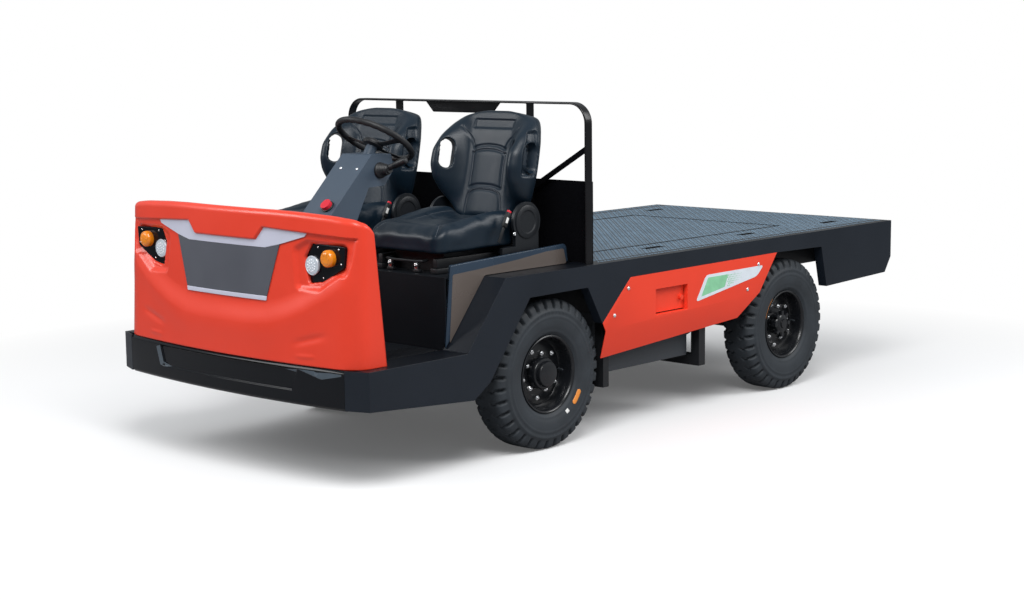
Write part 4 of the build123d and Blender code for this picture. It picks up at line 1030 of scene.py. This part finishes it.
STITCH_STEP = 0.0085
STITCH_R = 0.0009
STITCH_LIFT = 0.0004
STITCH_FROM = 0.30


def add_stitching(mesh, name, runs, flip, place, ahead):
    """Short raised threads along runs and their mirror images, dropped on to a mesh along a direction."""
    tree = surface_tree(mesh)
    thread = Shape()
    for run in [half for run in runs for half in (run, run * flip)]:
        count = max(2, int(run_length(run)[-1] / STITCH_STEP))
        line = smooth_run(run, count * 4)
        for k in range(count):
            spots = [place(*line[4 * k + m]) for m in range(3)]
            hits = [tree.ray_cast(spot + ahead * STITCH_FROM, -ahead) for spot in spots]
            if all(hit[0] is not None for hit in hits):
                thread.add(tube([hit[0] + hit[1] * STITCH_LIFT for hit in hits], STITCH_R, 5))
    thread.piece(name, THREAD, "seat_vinyl")


# Seat backs: winged, bent shells.
BACK_TILT = math.radians(12.0)
BACK_AT = (0.745, 1.000)
BACK_AHEAD = Vector((math.cos(BACK_TILT), 0, math.sin(BACK_TILT)))
BACK_UP = Vector((-math.sin(BACK_TILT), 0, math.cos(BACK_TILT)))
# Columns: height up the back, half width, how far the wing stands forward there.
BACK_FORM = np.array((
    (0.000, 0.172, 0.000), (0.040, 0.198, 0.006), (0.080, 0.234, 0.030), (0.115, 0.258, 0.066),
    (0.165, 0.275, 0.106), (0.220, 0.283, 0.124), (0.290, 0.283, 0.120), (0.358, 0.275, 0.082),
    (0.420, 0.252, 0.036), (0.455, 0.226, 0.012), (0.478, 0.190, 0.004), (0.490, 0.134, 0.000),
    (0.494, 0.060, 0.000)))
BACK_ROWS = 61
BACK_COLUMNS = 81
BACK_FRONT = 0.066
BACK_REAR = -0.046
BACK_VOXEL = 0.005
# The opening in each wing: across, forward and up from the back's foot, its width and its height.
SLOT_AT = (0.220, 0.118, 0.279)
SLOT_SIZE = (0.068, 0.138)
SLOT_TURN = math.radians(51.0)
SLOT_REACH = 0.16
SLOT_SIDES = 32
# The hollow on the outer side of each wing: forward and up.
WING_HOLLOW = [(0.062, 0.215), (0.118, 0.205), (0.122, 0.290), (0.092, 0.380), (0.062, 0.388)]
WING_HOLLOW_ROUND = 0.022
WING_HOLLOW_DEPTH = 0.016
WING_FROM = 0.235
# Seams of a seat back: across and up its face, for one half. Each is a smooth run of points.
BACK_SEAMS = (
    ((0.0, 0.332), (0.060, 0.328), (0.096, 0.314)),
    ((0.0, 0.311), (0.060, 0.307), (0.096, 0.294)),
    ((0.096, 0.294), (0.093, 0.220), (0.096, 0.140)),
    ((0.0, 0.149), (0.060, 0.147), (0.096, 0.136)),
    ((0.0, 0.127), (0.055, 0.125), (0.095, 0.110), (0.104, 0.070), (0.107, 0.010)),
    ((0.094, 0.316), (0.118, 0.362), (0.176, 0.412)),
)
BACK_SEAM_DEPTH = 0.0055
BACK_SEAM_W = 0.0050
BACK_THREADS = (1, 2, 4)
BACK_THREAD_SHIFT = (0.0, 0.007)
BACK_CROWN = 0.008
# The blank recess near the top: half width, foot, top, depth.
RECESS = (0.120, 0.406, 0.454, 0.006)
SEAM_POINTS = 24


def back_origin(keep):
    return Vector((BACK_AT[0], keep * SEAT_Y, BACK_AT[1]))


def back_column(height, index):
    """A column of the back's form at these heights, with its corners eased."""
    fine = np.linspace(0.0, BACK_FORM[-1, 0], 200)
    return np.interp(height, fine, eased(np.interp(fine, BACK_FORM[:, 0], BACK_FORM[:, index]), 40))


def back_solid(keep):
    """Closed form of a winged back: a bent, thick shell with a rounded outline."""
    level = np.linspace(-1.0, 1.0, BACK_ROWS)
    middle_height = BACK_FORM[-1, 0] / 2
    height = middle_height + middle_height * np.sin(level * math.pi / 2)
    half, wing = (back_column(height, k)[:, None] for k in (1, 2))
    side = np.sin(np.linspace(-1.0, 1.0, BACK_COLUMNS) * math.pi / 2)[None, :]
    u = half * side
    w = np.repeat(height[:, None], BACK_COLUMNS, 1)
    front = BACK_FRONT + wing * smoothstep(0.115, 0.240, np.abs(u)) - 0.018 * smoothstep(0.36, 0.50, w)
    rear = BACK_REAR + 0.044 * smoothstep(0.150, 0.280, np.abs(u)) + 0.060 * smoothstep(0.06, -0.05, w)
    round_side = np.clip(1 - np.abs(side) ** 12, 0, 1)
    round_end = np.clip(1 - np.abs(level[:, None]) ** 14, 0, 1)
    bulge = (front - rear) / 2 * np.sqrt(round_side * round_end)
    sheets = []
    for sign in (1, -1):
        forward = (front + rear) / 2 + sign * bulge
        spot = np.array(back_origin(keep)) + forward[..., None] * np.array(BACK_AHEAD)
        spot = spot + w[..., None] * np.array(BACK_UP)
        spot[..., 1] += u
        sheets.append(spot.reshape(-1, 3))
    total = BACK_ROWS * BACK_COLUMNS
    faces = grid_faces(BACK_ROWS, BACK_COLUMNS)
    faces += [[i + total for i in face[::-1]] for face in faces]
    index = np.arange(total).reshape(BACK_ROWS, BACK_COLUMNS)
    edge = [*index[:, 0], *index[-1, 1:], *index[-2::-1, -1], *index[0, -2:0:-1]]
    faces += [[a, b, b + total, a + total] for a, b in zip(edge, edge[1:] + edge[:1])]
    return turn_out(new_mesh("back_form", np.vstack(sheets), faces))


def slot_cutter(keep):
    """Two long rounded bars, one slanting through each wing."""
    half_w, half_h = SLOT_SIZE[0] / 2, SLOT_SIZE[1] / 2
    across_at, forward_at, up_at = SLOT_AT
    bars = Shape()
    for side in SIDE.values():
        along = BACK_AHEAD * math.cos(SLOT_TURN) - Vector((0, side * math.sin(SLOT_TURN), 0))
        across = along.cross(BACK_UP)
        centre = back_origin(keep) + Vector((0, side * across_at, 0))
        centre += BACK_AHEAD * forward_at + BACK_UP * up_at
        verts = []
        for reach in (-SLOT_REACH, SLOT_REACH):
            for angle in angles(SLOT_SIDES):
                lift = half_h - half_w if math.sin(angle) >= 0 else half_w - half_h
                edge = across * half_w * math.cos(angle) + BACK_UP * (half_w * math.sin(angle) + lift)
                verts.append(centre + along * reach + edge)
        bars.add((verts, sleeve_faces(2, SLOT_SIDES)))
    return bpy.data.objects.new("slot_form", bars.mesh("slot_form"))


def seam_depth(seams, u, w, deep, width):
    """Depth of the furrows along seams."""
    return sum(deep * bump_at(run_distance(smooth_run(run, SEAM_POINTS), u, w), width) for run in seams)


def make_seat_back(label, keep):
    mesh = remeshed(back_solid(keep), BACK_VOXEL, slot_cutter(keep))
    relax(mesh, 24)
    origin = back_origin(keep)
    points = mesh_points(mesh)
    normals = mesh_normals(mesh)
    offset = points - np.array(origin)
    outward = np.sign(offset[:, 1])
    u = np.abs(offset[:, 1])
    w = offset @ np.array(BACK_UP)
    depth = seam_depth(BACK_SEAMS, u, w, BACK_SEAM_DEPTH, BACK_SEAM_W)
    depth -= BACK_CROWN * bump_at(u, 0.085, 4) * smoothstep(0.0, 0.03, w) * smoothstep(0.36, 0.28, w)
    half, low, high, deep = RECESS
    edge = inside_distance([(-half, low), (half, low), (half * 1.04, high), (-half * 1.04, high)], u, w)
    depth += deep * smoothstep(-0.002, 0.008, edge)
    facing = smoothstep(0.15, 0.6, normals @ np.array(BACK_AHEAD))
    points = points - np.array(BACK_AHEAD) * (depth * facing)[:, None]
    hollow = inside_distance(WING_HOLLOW, offset @ np.array(BACK_AHEAD), w) + WING_HOLLOW_ROUND
    sunk = WING_HOLLOW_DEPTH * smoothstep(0.0, WING_HOLLOW_ROUND, hollow) * (u > WING_FROM)
    points[:, 1] -= outward * sunk * smoothstep(0.35, 0.75, outward * normals[:, 1])
    set_points(mesh, points)
    piece = make_piece(mesh, f"seat_back_{label}", VINYL)

    def place(across, height):
        return origin + Vector((0, across, 0)) + BACK_UP * height

    runs = [np.array(BACK_SEAMS[index]) + BACK_THREAD_SHIFT for index in BACK_THREADS]
    add_stitching(mesh, f"back_stitching_{label}", runs, (-1, 1), place, BACK_AHEAD)
    return piece


# Seat cushions: remeshed from the solids, swelled as cloth, then creased along their seams.
CUSHION_LOW, CUSHION_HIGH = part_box("seat_cushions")
CUSHION_VOXEL = 0.008
CUSHION_INSET = 0.004
# How far the whole top and the side rolls rise, and the middle and the front edge sink.
CUSHION_LIFT = 0.006
CUSHION_RISE = 0.042
CUSHION_DISH = 0.034
CUSHION_NOSE = 0.026
CUSHION_SWELL = 0.011
# Seams of a seat cushion for one half: along x from its front, across y from its middle.
CUSHION_SEAMS = (
    ((0.000, 0.205), (0.060, 0.180), (0.110, 0.140), (0.300, 0.132), (0.480, 0.130)),
    ((0.112, 0.0), (0.112, 0.070), (0.110, 0.138)),
    ((0.300, 0.0), (0.300, 0.070), (0.300, 0.132)),
)
CUSHION_SEAM_DEPTH = 0.007
CUSHION_SEAM_W = 0.006
CUSHION_THREAD_SHIFT = (-0.008, 0.0)
CLOTH = {"use_pressure": True, "uniform_pressure_force": 4.0, "quality": 4, "tension_stiffness": 25.0,
         "compression_stiffness": 25.0, "bending_stiffness": 2.0}
CLOTH_FRAMES = 20


def swelled_points(mesh):
    """The points of a mesh blown out as cloth, each by CUSHION_SWELL at most."""
    rest = mesh_points(mesh)
    obj = bpy.data.objects.new("cloth_work", mesh)
    scene.collection.objects.link(obj)
    cloth = obj.modifiers.new("cloth", "CLOTH")
    for name, value in CLOTH.items():
        setattr(cloth.settings, name, value)
    cloth.settings.effector_weights.gravity = 0.0
    cloth.point_cache.frame_start = 1
    cloth.point_cache.frame_end = CLOTH_FRAMES
    for number in range(1, CLOTH_FRAMES + 1):
        scene.frame_set(number)
    moved = mesh_points(evaluated_mesh(obj)) - rest
    bpy.data.objects.remove(obj)
    scene.frame_set(1)
    far = np.linalg.norm(moved, axis=1)[:, None]
    return rest + moved * np.minimum(1.0, CUSHION_SWELL / np.maximum(far, 1e-9))


def make_cushion(label, keep):
    middle = keep * SEAT_Y
    low, high = CUSHION_LOW, CUSHION_HIGH

    def spread(points):
        return high.x - points[:, 0], np.abs(points[:, 1] - middle)

    mesh = node_half("seat_cushions", keep)
    shrink(mesh, CUSHION_INSET)
    mesh = remeshed(mesh, CUSHION_VOXEL)
    relax(mesh, 8)
    points = mesh_points(mesh)
    along, across = spread(points)
    rise = CUSHION_LIFT + CUSHION_RISE * smoothstep(0.02, 0.42, along)
    dish = -CUSHION_DISH * smoothstep(0.19, 0.07, across) * smoothstep(0.05, 0.25, along)
    nose = -CUSHION_NOSE * smoothstep(0.11, 0.0, along) ** 2
    points[:, 2] += (points[:, 2] - low.z) / (high.z - low.z) * (rise + dish + nose)
    set_points(mesh, points)
    points = swelled_points(mesh)
    points[:, 2] = np.clip(points[:, 2], low.z + 0.001, high.z + 0.012 + CUSHION_RISE)
    points[:, 0] = np.minimum(points[:, 0], high.x + 0.006)
    set_points(mesh, points)
    relax(mesh, 40)
    points = mesh_points(mesh)
    upward = smoothstep(0.3, 0.8, mesh_normals(mesh)[:, 2])
    points[:, 2] -= seam_depth(CUSHION_SEAMS, *spread(points), CUSHION_SEAM_DEPTH, CUSHION_SEAM_W) * upward
    set_points(mesh, points)
    piece = make_piece(mesh, f"seat_cushion_{label}", VINYL)

    def place(distance, sideways):
        return Vector((high.x - distance, middle + sideways, high.z + CUSHION_RISE))

    runs = [np.array(run) + CUSHION_THREAD_SHIFT for run in CUSHION_SEAMS[:2]]
    add_stitching(mesh, f"cushion_stitching_{label}", runs, (1, -1), place, UP)
    return piece


def make_seats():
    for label, keep in SIDE.items():
        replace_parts(make_seat_back(label, keep), "seat_backs")
    for label, keep in SIDE.items():
        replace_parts(make_cushion(label, keep), "seat_cushions")


# Sides: screws, blank labels, and the trims' fields of painted reflection. Corners and places are x and z.
BUTTON_HEAD = ((0.0, -0.001), (0.0095, -0.001), (0.0095, 0.0012), (0.008, 0.0036), (0.005, 0.0050),
               (0.0034, 0.0052), (0.0030, 0.0034), (0.0, 0.0034))
COVER_SCREWS = ((0.290, 0.674), (0.391, 0.560), (-0.737, 0.686), (-0.644, 0.568))
LABEL_CORNERS = ((-0.302, 0.675), (-0.780, 0.677), (-0.723, 0.627), (-0.220, 0.553))
GREEN_CORNERS = ((-0.316, 0.661), (-0.480, 0.661), (-0.452, 0.602), (-0.262, 0.574))
# Columns: name, outline, corner radius, thickness, finish.
LABEL_PARTS = (("white", LABEL_CORNERS, 0.022, 0.0008, LABEL), ("green", GREEN_CORNERS, 0.008, 0.0011, GREEN))
FILM_LIFT = 0.0002
# Rows of green dots that shrink towards the rear, above a slanting line.
DOT_ROWS = 6
DOT_COLUMNS = 10
DOTS_AT = (-0.478, 0.606)
DOT_STEP = (0.012, 0.010)
DOT_R = 0.0042
DOT_LESS = 0.0003
DOTS_FOOT_Z = 0.60
DOTS_SLOPE = 0.30
TRIM_FIELD = ((1.112, 0.809), (1.330, 0.540), (1.306, 0.830), (1.150, 0.838), (0.900, 0.856), (0.720, 0.874),
              (0.598, 0.878), (0.580, 0.809))
TRIM_FIELD_R = 0.010
TRIM_FIELD_THICK = 0.0010


def add_dots(label, tree, turn, lift):
    for row in range(DOT_ROWS):
        for column in range(DOT_COLUMNS):
            along = DOT_STEP[0] * (column + 0.5 * (row % 2))
            z = DOTS_AT[1] + DOT_STEP[1] * row
            if z > DOTS_FOOT_Z + along * DOTS_SLOPE:
                radius = DOT_R - DOT_LESS * column
                dot = ((0.0, 0.0), (radius, 0.0), (radius, lift), (0.0, lift))
                label.add(lathe(dot, 8), axis_frame(*side_spot(tree, turn, DOTS_AT[0] - along, z)))


def make_side_details():
    screws = Shape()
    for side, turn in SIDE.items():
        name = f"side_cover_{side}"
        tree = surface_tree(nodes[name].data)
        for x, z in COVER_SCREWS:
            screws.add(lathe(BUTTON_HEAD, 20), axis_frame(*side_spot(tree, turn, x, z)))
        for part, outline, radius, lift, mat in LABEL_PARTS:
            spots = [side_spot(tree, turn, x, z) for x, z in rounded_corners(outline, radius)]
            corners = [spot + normal * FILM_LIFT for spot, normal in spots]
            label = Shape().add(film(corners, Vector((0, turn * lift, 0))))
            if part == "green":
                add_dots(label, tree, turn, lift)
            label.piece(f"{name}_label_{part}", mat, "red", smooth=False)
    screws.piece("side_cover_screws", ZINC, "steel")


def make_trim_reflections():
    """The flat field of each side trim, inside its rolled edge, painted brown as a reflection in the black
    gloss.
    """
    fields = Shape()
    tree = surface_tree(nodes["seat_box_trims"].data)
    for turn in SIDE.values():
        outline = rounded_corners(TRIM_FIELD, TRIM_FIELD_R)
        sunk = Vector((0, turn * FILM_LIFT, 0))
        spots = [side_spot(tree, turn, x, z)[0] - sunk for x, z in outline]
        fields.add(film(spots, Vector((0, turn * TRIM_FIELD_THICK, 0))))
    fields.piece("trim_painted_reflections", TRIM_REFLECTION, "gloss_black", smooth=False)


# Seat fittings: sizes and places; y is from the middle of a seat.
HIP_Y = 0.266
HIP_BOLT_AT = (0.872, 0.962)
HIP_RING_AT = (0.790, 1.010)
HIP_RING = ((0.0, 0.0), (0.074, 0.0), (0.074, 0.004), (0.070, 0.006), (0.052, 0.006), (0.048, 0.0025),
            (0.0, 0.0015))
BUCKLE_AT = (0.925, 0.268, 1.030)
BUCKLE_LEAN = math.radians(-28)
RAIL_X = 1.060
RAIL_Y = 0.170
# Parts of a rail: size, height of its middle.
RAIL_PARTS = (((0.440, 0.040, 0.022), 0.830), ((0.420, 0.026, 0.040), 0.862))
LEVER = ((1.255, -0.110, 0.872), (1.285, -0.110, 0.870), (1.292, -0.070, 0.868), (1.292, 0.070, 0.868),
         (1.285, 0.110, 0.870), (1.255, 0.110, 0.872))
LEVER_R = 0.006
CATCHES_Y = (-0.090, 0.072)


def make_buckles():
    """A belt buckle with a blank tag, and a bolt and a pressed ring on each hip of each seat."""
    red = Shape()
    black = Shape()
    tag = Shape()
    bolts = Shape()
    rings = Shape()
    for seat in (SEAT_Y, -SEAT_Y):
        x, y, z = BUCKLE_AT
        place = at((x, seat + y, z)) @ Matrix.Rotation(BUCKLE_LEAN, 4, "Y")
        black.add(block((0.026, 0.017, 0.070), 0.005), place)
        black.add(block((0.016, 0.005, 0.080), 0.002), place @ at((0, 0, -0.070)))
        red.add(block((0.020, 0.012, 0.022), 0.003), place @ at((0, 0, 0.032)))
        tag.add(block((0.014, 0.001, 0.026), 0.0004, 1), place @ at((0.003, 0.0090, -0.004)))
        for turn in SIDE.values():
            hip = seat + turn * HIP_Y
            for shape, form, (x, z) in ((bolts, lathe(BUTTON_HEAD, 16), HIP_BOLT_AT),
                                        (rings, lathe(HIP_RING, 40), HIP_RING_AT)):
                shape.add(form, axis_frame((x, hip, z), (0, turn, 0)))
    red.piece("buckle_buttons", BUTTON, "button_red")
    black.piece("buckles", PLASTIC, "trim_black")
    tag.piece("buckle_tags", TAG, "trim_black")
    bolts.piece("hip_bolts", ZINC, "steel")
    rings.piece("hip_rings", HIP, "column_grey")


def make_seat_fittings():
    """Rails, slide levers and catches under the cushions."""
    dark = Shape()
    bright = Shape()
    for seat in (SEAT_Y, -SEAT_Y):
        for shift in (-RAIL_Y, RAIL_Y):
            for size, z in RAIL_PARTS:
                dark.add(block(size, 0.003), at((RAIL_X, seat + shift, z)))
        dark.add(tube(LEVER, LEVER_R, 8), at((0, seat, 0)))
        for shift in CATCHES_Y:
            y = seat + shift
            bright.add(block((0.016, 0.022, 0.034), 0.003), at((1.282, y, 0.846)))
            bright.add(lathe(BUTTON_HEAD, 14), axis_frame((1.291, y, 0.852), FORWARD))
            dark.add(block((0.020, 0.040, 0.012), 0.002), at((1.280, y, 0.826)))
    dark.piece("seat_rails", PLASTIC, "trim_black")
    bright.piece("seat_catches", ZINC, "steel")


# Steering column: screws, a lever in a ribbed boot, and a collar under the stop button.
COLUMN_FACE = Vector((0.7147, 0.0, 0.6994))
COLUMN_SCREWS = ((1.607, 0.342, 1.2820), (1.607, 0.441, 1.2820))
COLUMN_SCREW_SIZE = 0.75
BOOT_AT = Vector((1.505, SEAT_Y + 0.090, 1.272))
BOOT_AXIS = (-0.06, 1, 0.13)
BOOT_RIBS = 6
BOOT_STEP = 0.008
GRIP_AT = BOOT_AT + Vector((0, 0.020, 0))
GRIP_AXIS = Vector((-0.19, 1.0, 0.4)).normalized()
GRIP = ((0.0, 0.028), (0.012, 0.030), (0.0125, 0.058), (0.0145, 0.062), (0.0148, 0.118), (0.0135, 0.126),
        (0.009, 0.1295), (0.0, 0.130))
COLLAR = ((0.0, -0.001), (0.0285, -0.001), (0.0285, 0.004), (0.026, 0.006), (0.0, 0.006))
COLLAR_SUNK = 0.010


def make_column_details():
    screws = Shape()
    for place in COLUMN_SCREWS:
        screws.add(lathe(scaled(BUTTON_HEAD, COLUMN_SCREW_SIZE), 16), axis_frame(place, COLUMN_FACE))
    screws.piece("column_screws", ZINC, "steel")
    folds = [(0.0, -0.002), (0.034, -0.002), (0.034, 0.006)]
    for k in range(BOOT_RIBS):
        rise = BOOT_STEP * k
        folds += [(0.0325 - 0.0024 * k, 0.008 + rise), (0.0275 - 0.0022 * k, 0.012 + rise)]
    folds += [(0.0165, 0.058), (0.0, 0.059)]
    boot = Shape().add(lathe(folds, 28), axis_frame(BOOT_AT, BOOT_AXIS))
    boot.piece("lever_boot", PLASTIC, "trim_black")
    lever = Shape().add(lathe(GRIP, 24), axis_frame(GRIP_AT, GRIP_AXIS))
    lever.piece("lever_grip", PLASTIC, "trim_black")
    low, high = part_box("stop_button")
    centre = (low + high) / 2 - COLUMN_FACE * COLLAR_SUNK
    collar = Shape().add(lathe(COLLAR, 28), axis_frame(centre, COLUMN_FACE))
    collar.piece("stop_collar", PLASTIC, "trim_black")


# Steering wheel: a rim with finger grips, three dished spokes and a domed boss.
STEER_AT = Vector((1.446, SEAT_Y, 1.395))
STEER_AXIS = Vector((-0.5373, 0.0, 0.8434))
STEER_SIDE = Vector((0, 1, 0))
STEER_BACK = STEER_AXIS.cross(STEER_SIDE)
STEER_R = 0.166
STEER_RIM_R = 0.0138
STEER_RIM_ROWS = 180
STEER_RIM_SIDES = 18
FINGER_DEPTH = 0.0014
FINGER_COUNT = 30
BOSS_SUNK = 0.034
BOSS = ((0.0, -0.001), (0.030, -0.001), (0.044, 0.004), (0.046, 0.014), (0.043, 0.021), (0.034, 0.026),
        (0.030, 0.0265), (0.028, 0.0245), (0.012, 0.0262), (0.0, 0.0265))
SPOKES = (0, 90, 180)
SPOKE_ROWS = 14
SPOKE_SIDES = 10
SPOKE_FROM = 0.030
SPOKE_DISH = 0.022


def steer_out(angle):
    return STEER_SIDE * math.cos(angle) + STEER_BACK * math.sin(angle)


def steering_rim():
    verts = []
    for angle in angles(STEER_RIM_ROWS):
        out = steer_out(angle)
        for turn in angles(STEER_RIM_SIDES):
            under = max(0.0, -math.cos(turn)) * 0.6 + max(0.0, -math.sin(turn))
            thick = STEER_RIM_R + min(0.0, FINGER_DEPTH * under * math.cos(angle * FINGER_COUNT))
            reach = STEER_R + thick * math.cos(turn)
            verts.append(STEER_AT + out * reach + STEER_AXIS * thick * math.sin(turn))
    return verts, grid_faces(STEER_RIM_ROWS, STEER_RIM_SIDES, wrap=True, ring=True)


def steering_spoke(angle):
    out = steer_out(angle)
    across = STEER_AXIS.cross(out)
    verts = []
    for i in range(SPOKE_ROWS):
        t = i / (SPOKE_ROWS - 1)
        centre = STEER_AT + out * (SPOKE_FROM + (STEER_R - 0.034) * t)
        drop = SPOKE_DISH * (3 * t * t - 2 * t ** 3 - 1)
        half = 0.020 - 0.006 * math.sin(math.pi * min(1.0, t * 1.1))
        high = 0.006 - 0.002 * t
        for turn in angles(SPOKE_SIDES):
            lift = STEER_AXIS * (drop + high * math.sin(turn))
            verts.append(centre + across * half * math.cos(turn) + lift)
    return verts, sleeve_faces(SPOKE_ROWS, SPOKE_SIDES)


def make_steering_wheel():
    wheel = Shape().add(steering_rim())
    wheel.add(lathe(BOSS, 40), axis_frame(STEER_AT - STEER_AXIS * BOSS_SUNK, STEER_AXIS))
    for degrees in SPOKES:
        wheel.add(steering_spoke(math.radians(degrees)))
    piece = wheel.piece("steering_wheel_moulded", PLASTIC, "trim_black", "steering_wheel")
    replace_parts(piece, "steering_wheel")


# Floor mat: ribs across, on both sides of the column.
MAT_FROM_X = 1.350
MAT_TO_X = 1.750
MAT_STEP = 0.020
MAT_SPANS = ((-0.640, 0.250), (0.480, 0.640))
MAT_RIB_W = 0.009
MAT_RIB_H = 0.0036
MAT_RIB_Z = 0.0012


def make_mat():
    ribs = Shape()
    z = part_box("floor_plate")[1].z + MAT_RIB_Z
    x = MAT_FROM_X
    while x < MAT_TO_X:
        for low, high in MAT_SPANS:
            ribs.add(block((MAT_RIB_W, high - low, MAT_RIB_H), 0.0012, 1), at((x, (low + high) / 2, z)))
        x += MAT_STEP
    ribs.piece("mat_ribs", SHADED_MAT_RUBBER, "trim_black")


# Bolts of the headboard, and screws of the lamp bezels as y and z.
GUARD_BOLT_Y = 0.752
GUARD_BOLTS_Z = (1.158, 1.131, 0.900, 0.870)
GUARD_BOLT_SIZE = 0.55
BEZEL_SCREWS = ((0.486, 0.948), (0.560, 0.868), (0.668, 0.930), (0.655, 0.988), (0.530, 0.990))
BEZEL_SCREW_SIZE = 0.42


def make_guard_bolts():
    """Hex bolts on both faces of the headboard, and small screws around the lamp bezels."""
    bolts = Shape()
    screws = Shape()
    rear, front = (corner.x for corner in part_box("headboard"))
    bezel_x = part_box("lamp_bezels")[1].x
    for turn in SIDE.values():
        for z in GUARD_BOLTS_Z:
            for x, ahead in ((front, FORWARD), (rear, -FORWARD)):
                where = axis_frame((x, turn * GUARD_BOLT_Y, z), ahead)
                bolts.add(lathe(NUT, 6), where @ Matrix.Scale(GUARD_BOLT_SIZE, 4))
        for y, z in BEZEL_SCREWS:
            head = lathe(scaled(BUTTON_HEAD, BEZEL_SCREW_SIZE), 12)
            screws.add(head, axis_frame((bezel_x, turn * y, z), FORWARD))
    bolts.piece("guard_bolts", STEEL, "steel")
    screws.piece("bezel_screws", ZINC, "steel")


# Stage, light and camera
CAMERA_AT = Vector((6.614, 5.957, 1.796))
CAMERA_YAW = math.radians(222.87)
CAMERA_PITCH = math.radians(-8.19)
CAMERA_ROLL = math.radians(-0.59)
CAMERA_LENS = 63.0
CAMERA_SENSOR = 36.0
WHITE = (1.0, 1.0, 1.0)
FLOOR_REACH = 60.0
FLOOR_DARK = (0.90, 0.90, 0.905)
FLOOR_LIGHT = (0.92, 0.92, 0.925)
FLOOR_BOUNCE = (0.34, 0.34, 0.35)
FLOOR_GLOW = 0.09
FADE_FROM = 2.3
FADE_TO = 4.0
SKY = 0.42
SKY_COLOUR = (0.93, 0.97, 1.0)
# Columns: place, aim, size, power.
SOFTBOXES = (
    ((3.6, 3.2, 5.2), (0.3, 0.0, 0.6), 3.0, 300.0),
    ((-3.0, 4.5, 4.2), (-0.6, 0.0, 0.6), 3.0, 170.0),
    ((4.8, -3.0, 3.6), (1.0, 0.0, 0.7), 2.6, 130.0),
)


def make_camera():
    level = Vector((math.cos(CAMERA_YAW), math.sin(CAMERA_YAW), 0))
    forward = level * math.cos(CAMERA_PITCH) + UP * math.sin(CAMERA_PITCH)
    right = forward.cross(UP).normalized()
    up = right.cross(forward)
    turned_right = math.cos(CAMERA_ROLL) * right + math.sin(CAMERA_ROLL) * up
    turned_up = -math.sin(CAMERA_ROLL) * right + math.cos(CAMERA_ROLL) * up
    data = bpy.data.cameras.new("camera")
    data.lens = CAMERA_LENS
    data.sensor_width = CAMERA_SENSOR
    camera = bpy.data.objects.new("camera", data)
    scene.collection.objects.link(camera)
    turn = Matrix((turned_right, turned_up, -forward)).transposed().to_4x4()
    camera.matrix_world = at(CAMERA_AT) @ turn
    scene.camera = camera


def make_floor():
    """A pale floor that fades to plain white away from the object, and throws less light than it shows."""
    corners = [(FLOOR_REACH * x, FLOOR_REACH * y, 0) for x, y in ((-1, -1), (1, -1), (1, 1), (-1, 1))]
    mesh = new_mesh("floor", corners, [(0, 1, 2, 3)])
    floor = bpy.data.objects.new("floor", mesh)
    scene.collection.objects.link(floor)
    mat = bpy.data.materials.new("floor_white")
    mesh.materials.append(mat)
    tree = NodeTree(mat)
    coord = tree.add("TexCoord", "Object")
    shader = tree.nodes["Principled BSDF"]
    colour = tree.mix_colour(tree.noise(coord, 0.4), FLOOR_DARK, FLOOR_LIGHT)
    tree.fill(shader, {"Base Color": colour, "Roughness": 0.9, "Specular IOR Level": 0.0})
    distance = tree.add("VectorMath", "Value", {0: coord}, operation="LENGTH")
    far = tree.map_range(distance, FADE_FROM, FADE_TO, FLOOR_GLOW, 1.0)
    white = tree.add("Emission", 0, {"Color": WHITE, "Strength": 1.0})
    seen = tree.mix_shader(far, shader.outputs[0], white)
    dim = tree.add("BsdfDiffuse", 0, {"Color": FLOOR_BOUNCE})
    both = tree.mix_shader(tree.add("LightPath", "Is Camera Ray"), dim, seen)
    tree.fill(tree.nodes["Material Output"], {"Surface": both})


def make_light():
    """A soft white sky and three softboxes."""
    scene.world = bpy.data.worlds.new("studio")
    tree = NodeTree(scene.world)
    seen = tree.nodes["Background"]
    tree.fill(seen, {"Color": WHITE, "Strength": 1.0})
    soft = tree.add("Background", 0, {"Color": SKY_COLOUR, "Strength": SKY})
    rays = [tree.add("LightPath", f"Is {kind} Ray") for kind in ("Camera", "Transmission")]
    either = tree.add("Math", 0, {0: rays[0], 1: rays[1]}, operation="MAXIMUM")
    sky = tree.mix_shader(either, soft, seen.outputs[0])
    tree.fill(tree.nodes["World Output"], {"Surface": sky})
    for index, (place, aim, size, power) in enumerate(SOFTBOXES):
        data = bpy.data.lights.new(f"softbox_{index}", "AREA")
        data.size = size
        data.energy = power
        lamp = bpy.data.objects.new(f"softbox_{index}", data)
        scene.collection.objects.link(lamp)
        lamp.matrix_world = axis_frame(place, Vector(place) - Vector(aim))


dress_nodes()
make_cowl()
make_facet_highlights()
make_lamps()
for axle_name in AXLE_X:
    for side_name in SIDE:
        make_tyre(axle_name, side_name)
        make_wheel_detail(axle_name, side_name)
make_deck_tread()
make_seats()
make_side_details()
make_slot_shades()
make_trim_reflections()
make_stickers()
make_buckles()
make_seat_fittings()
make_column_details()
make_steering_wheel()
make_mat()
make_guard_bolts()
make_camera()
make_floor()
make_light()
scene.view_settings.view_transform = "Standard"
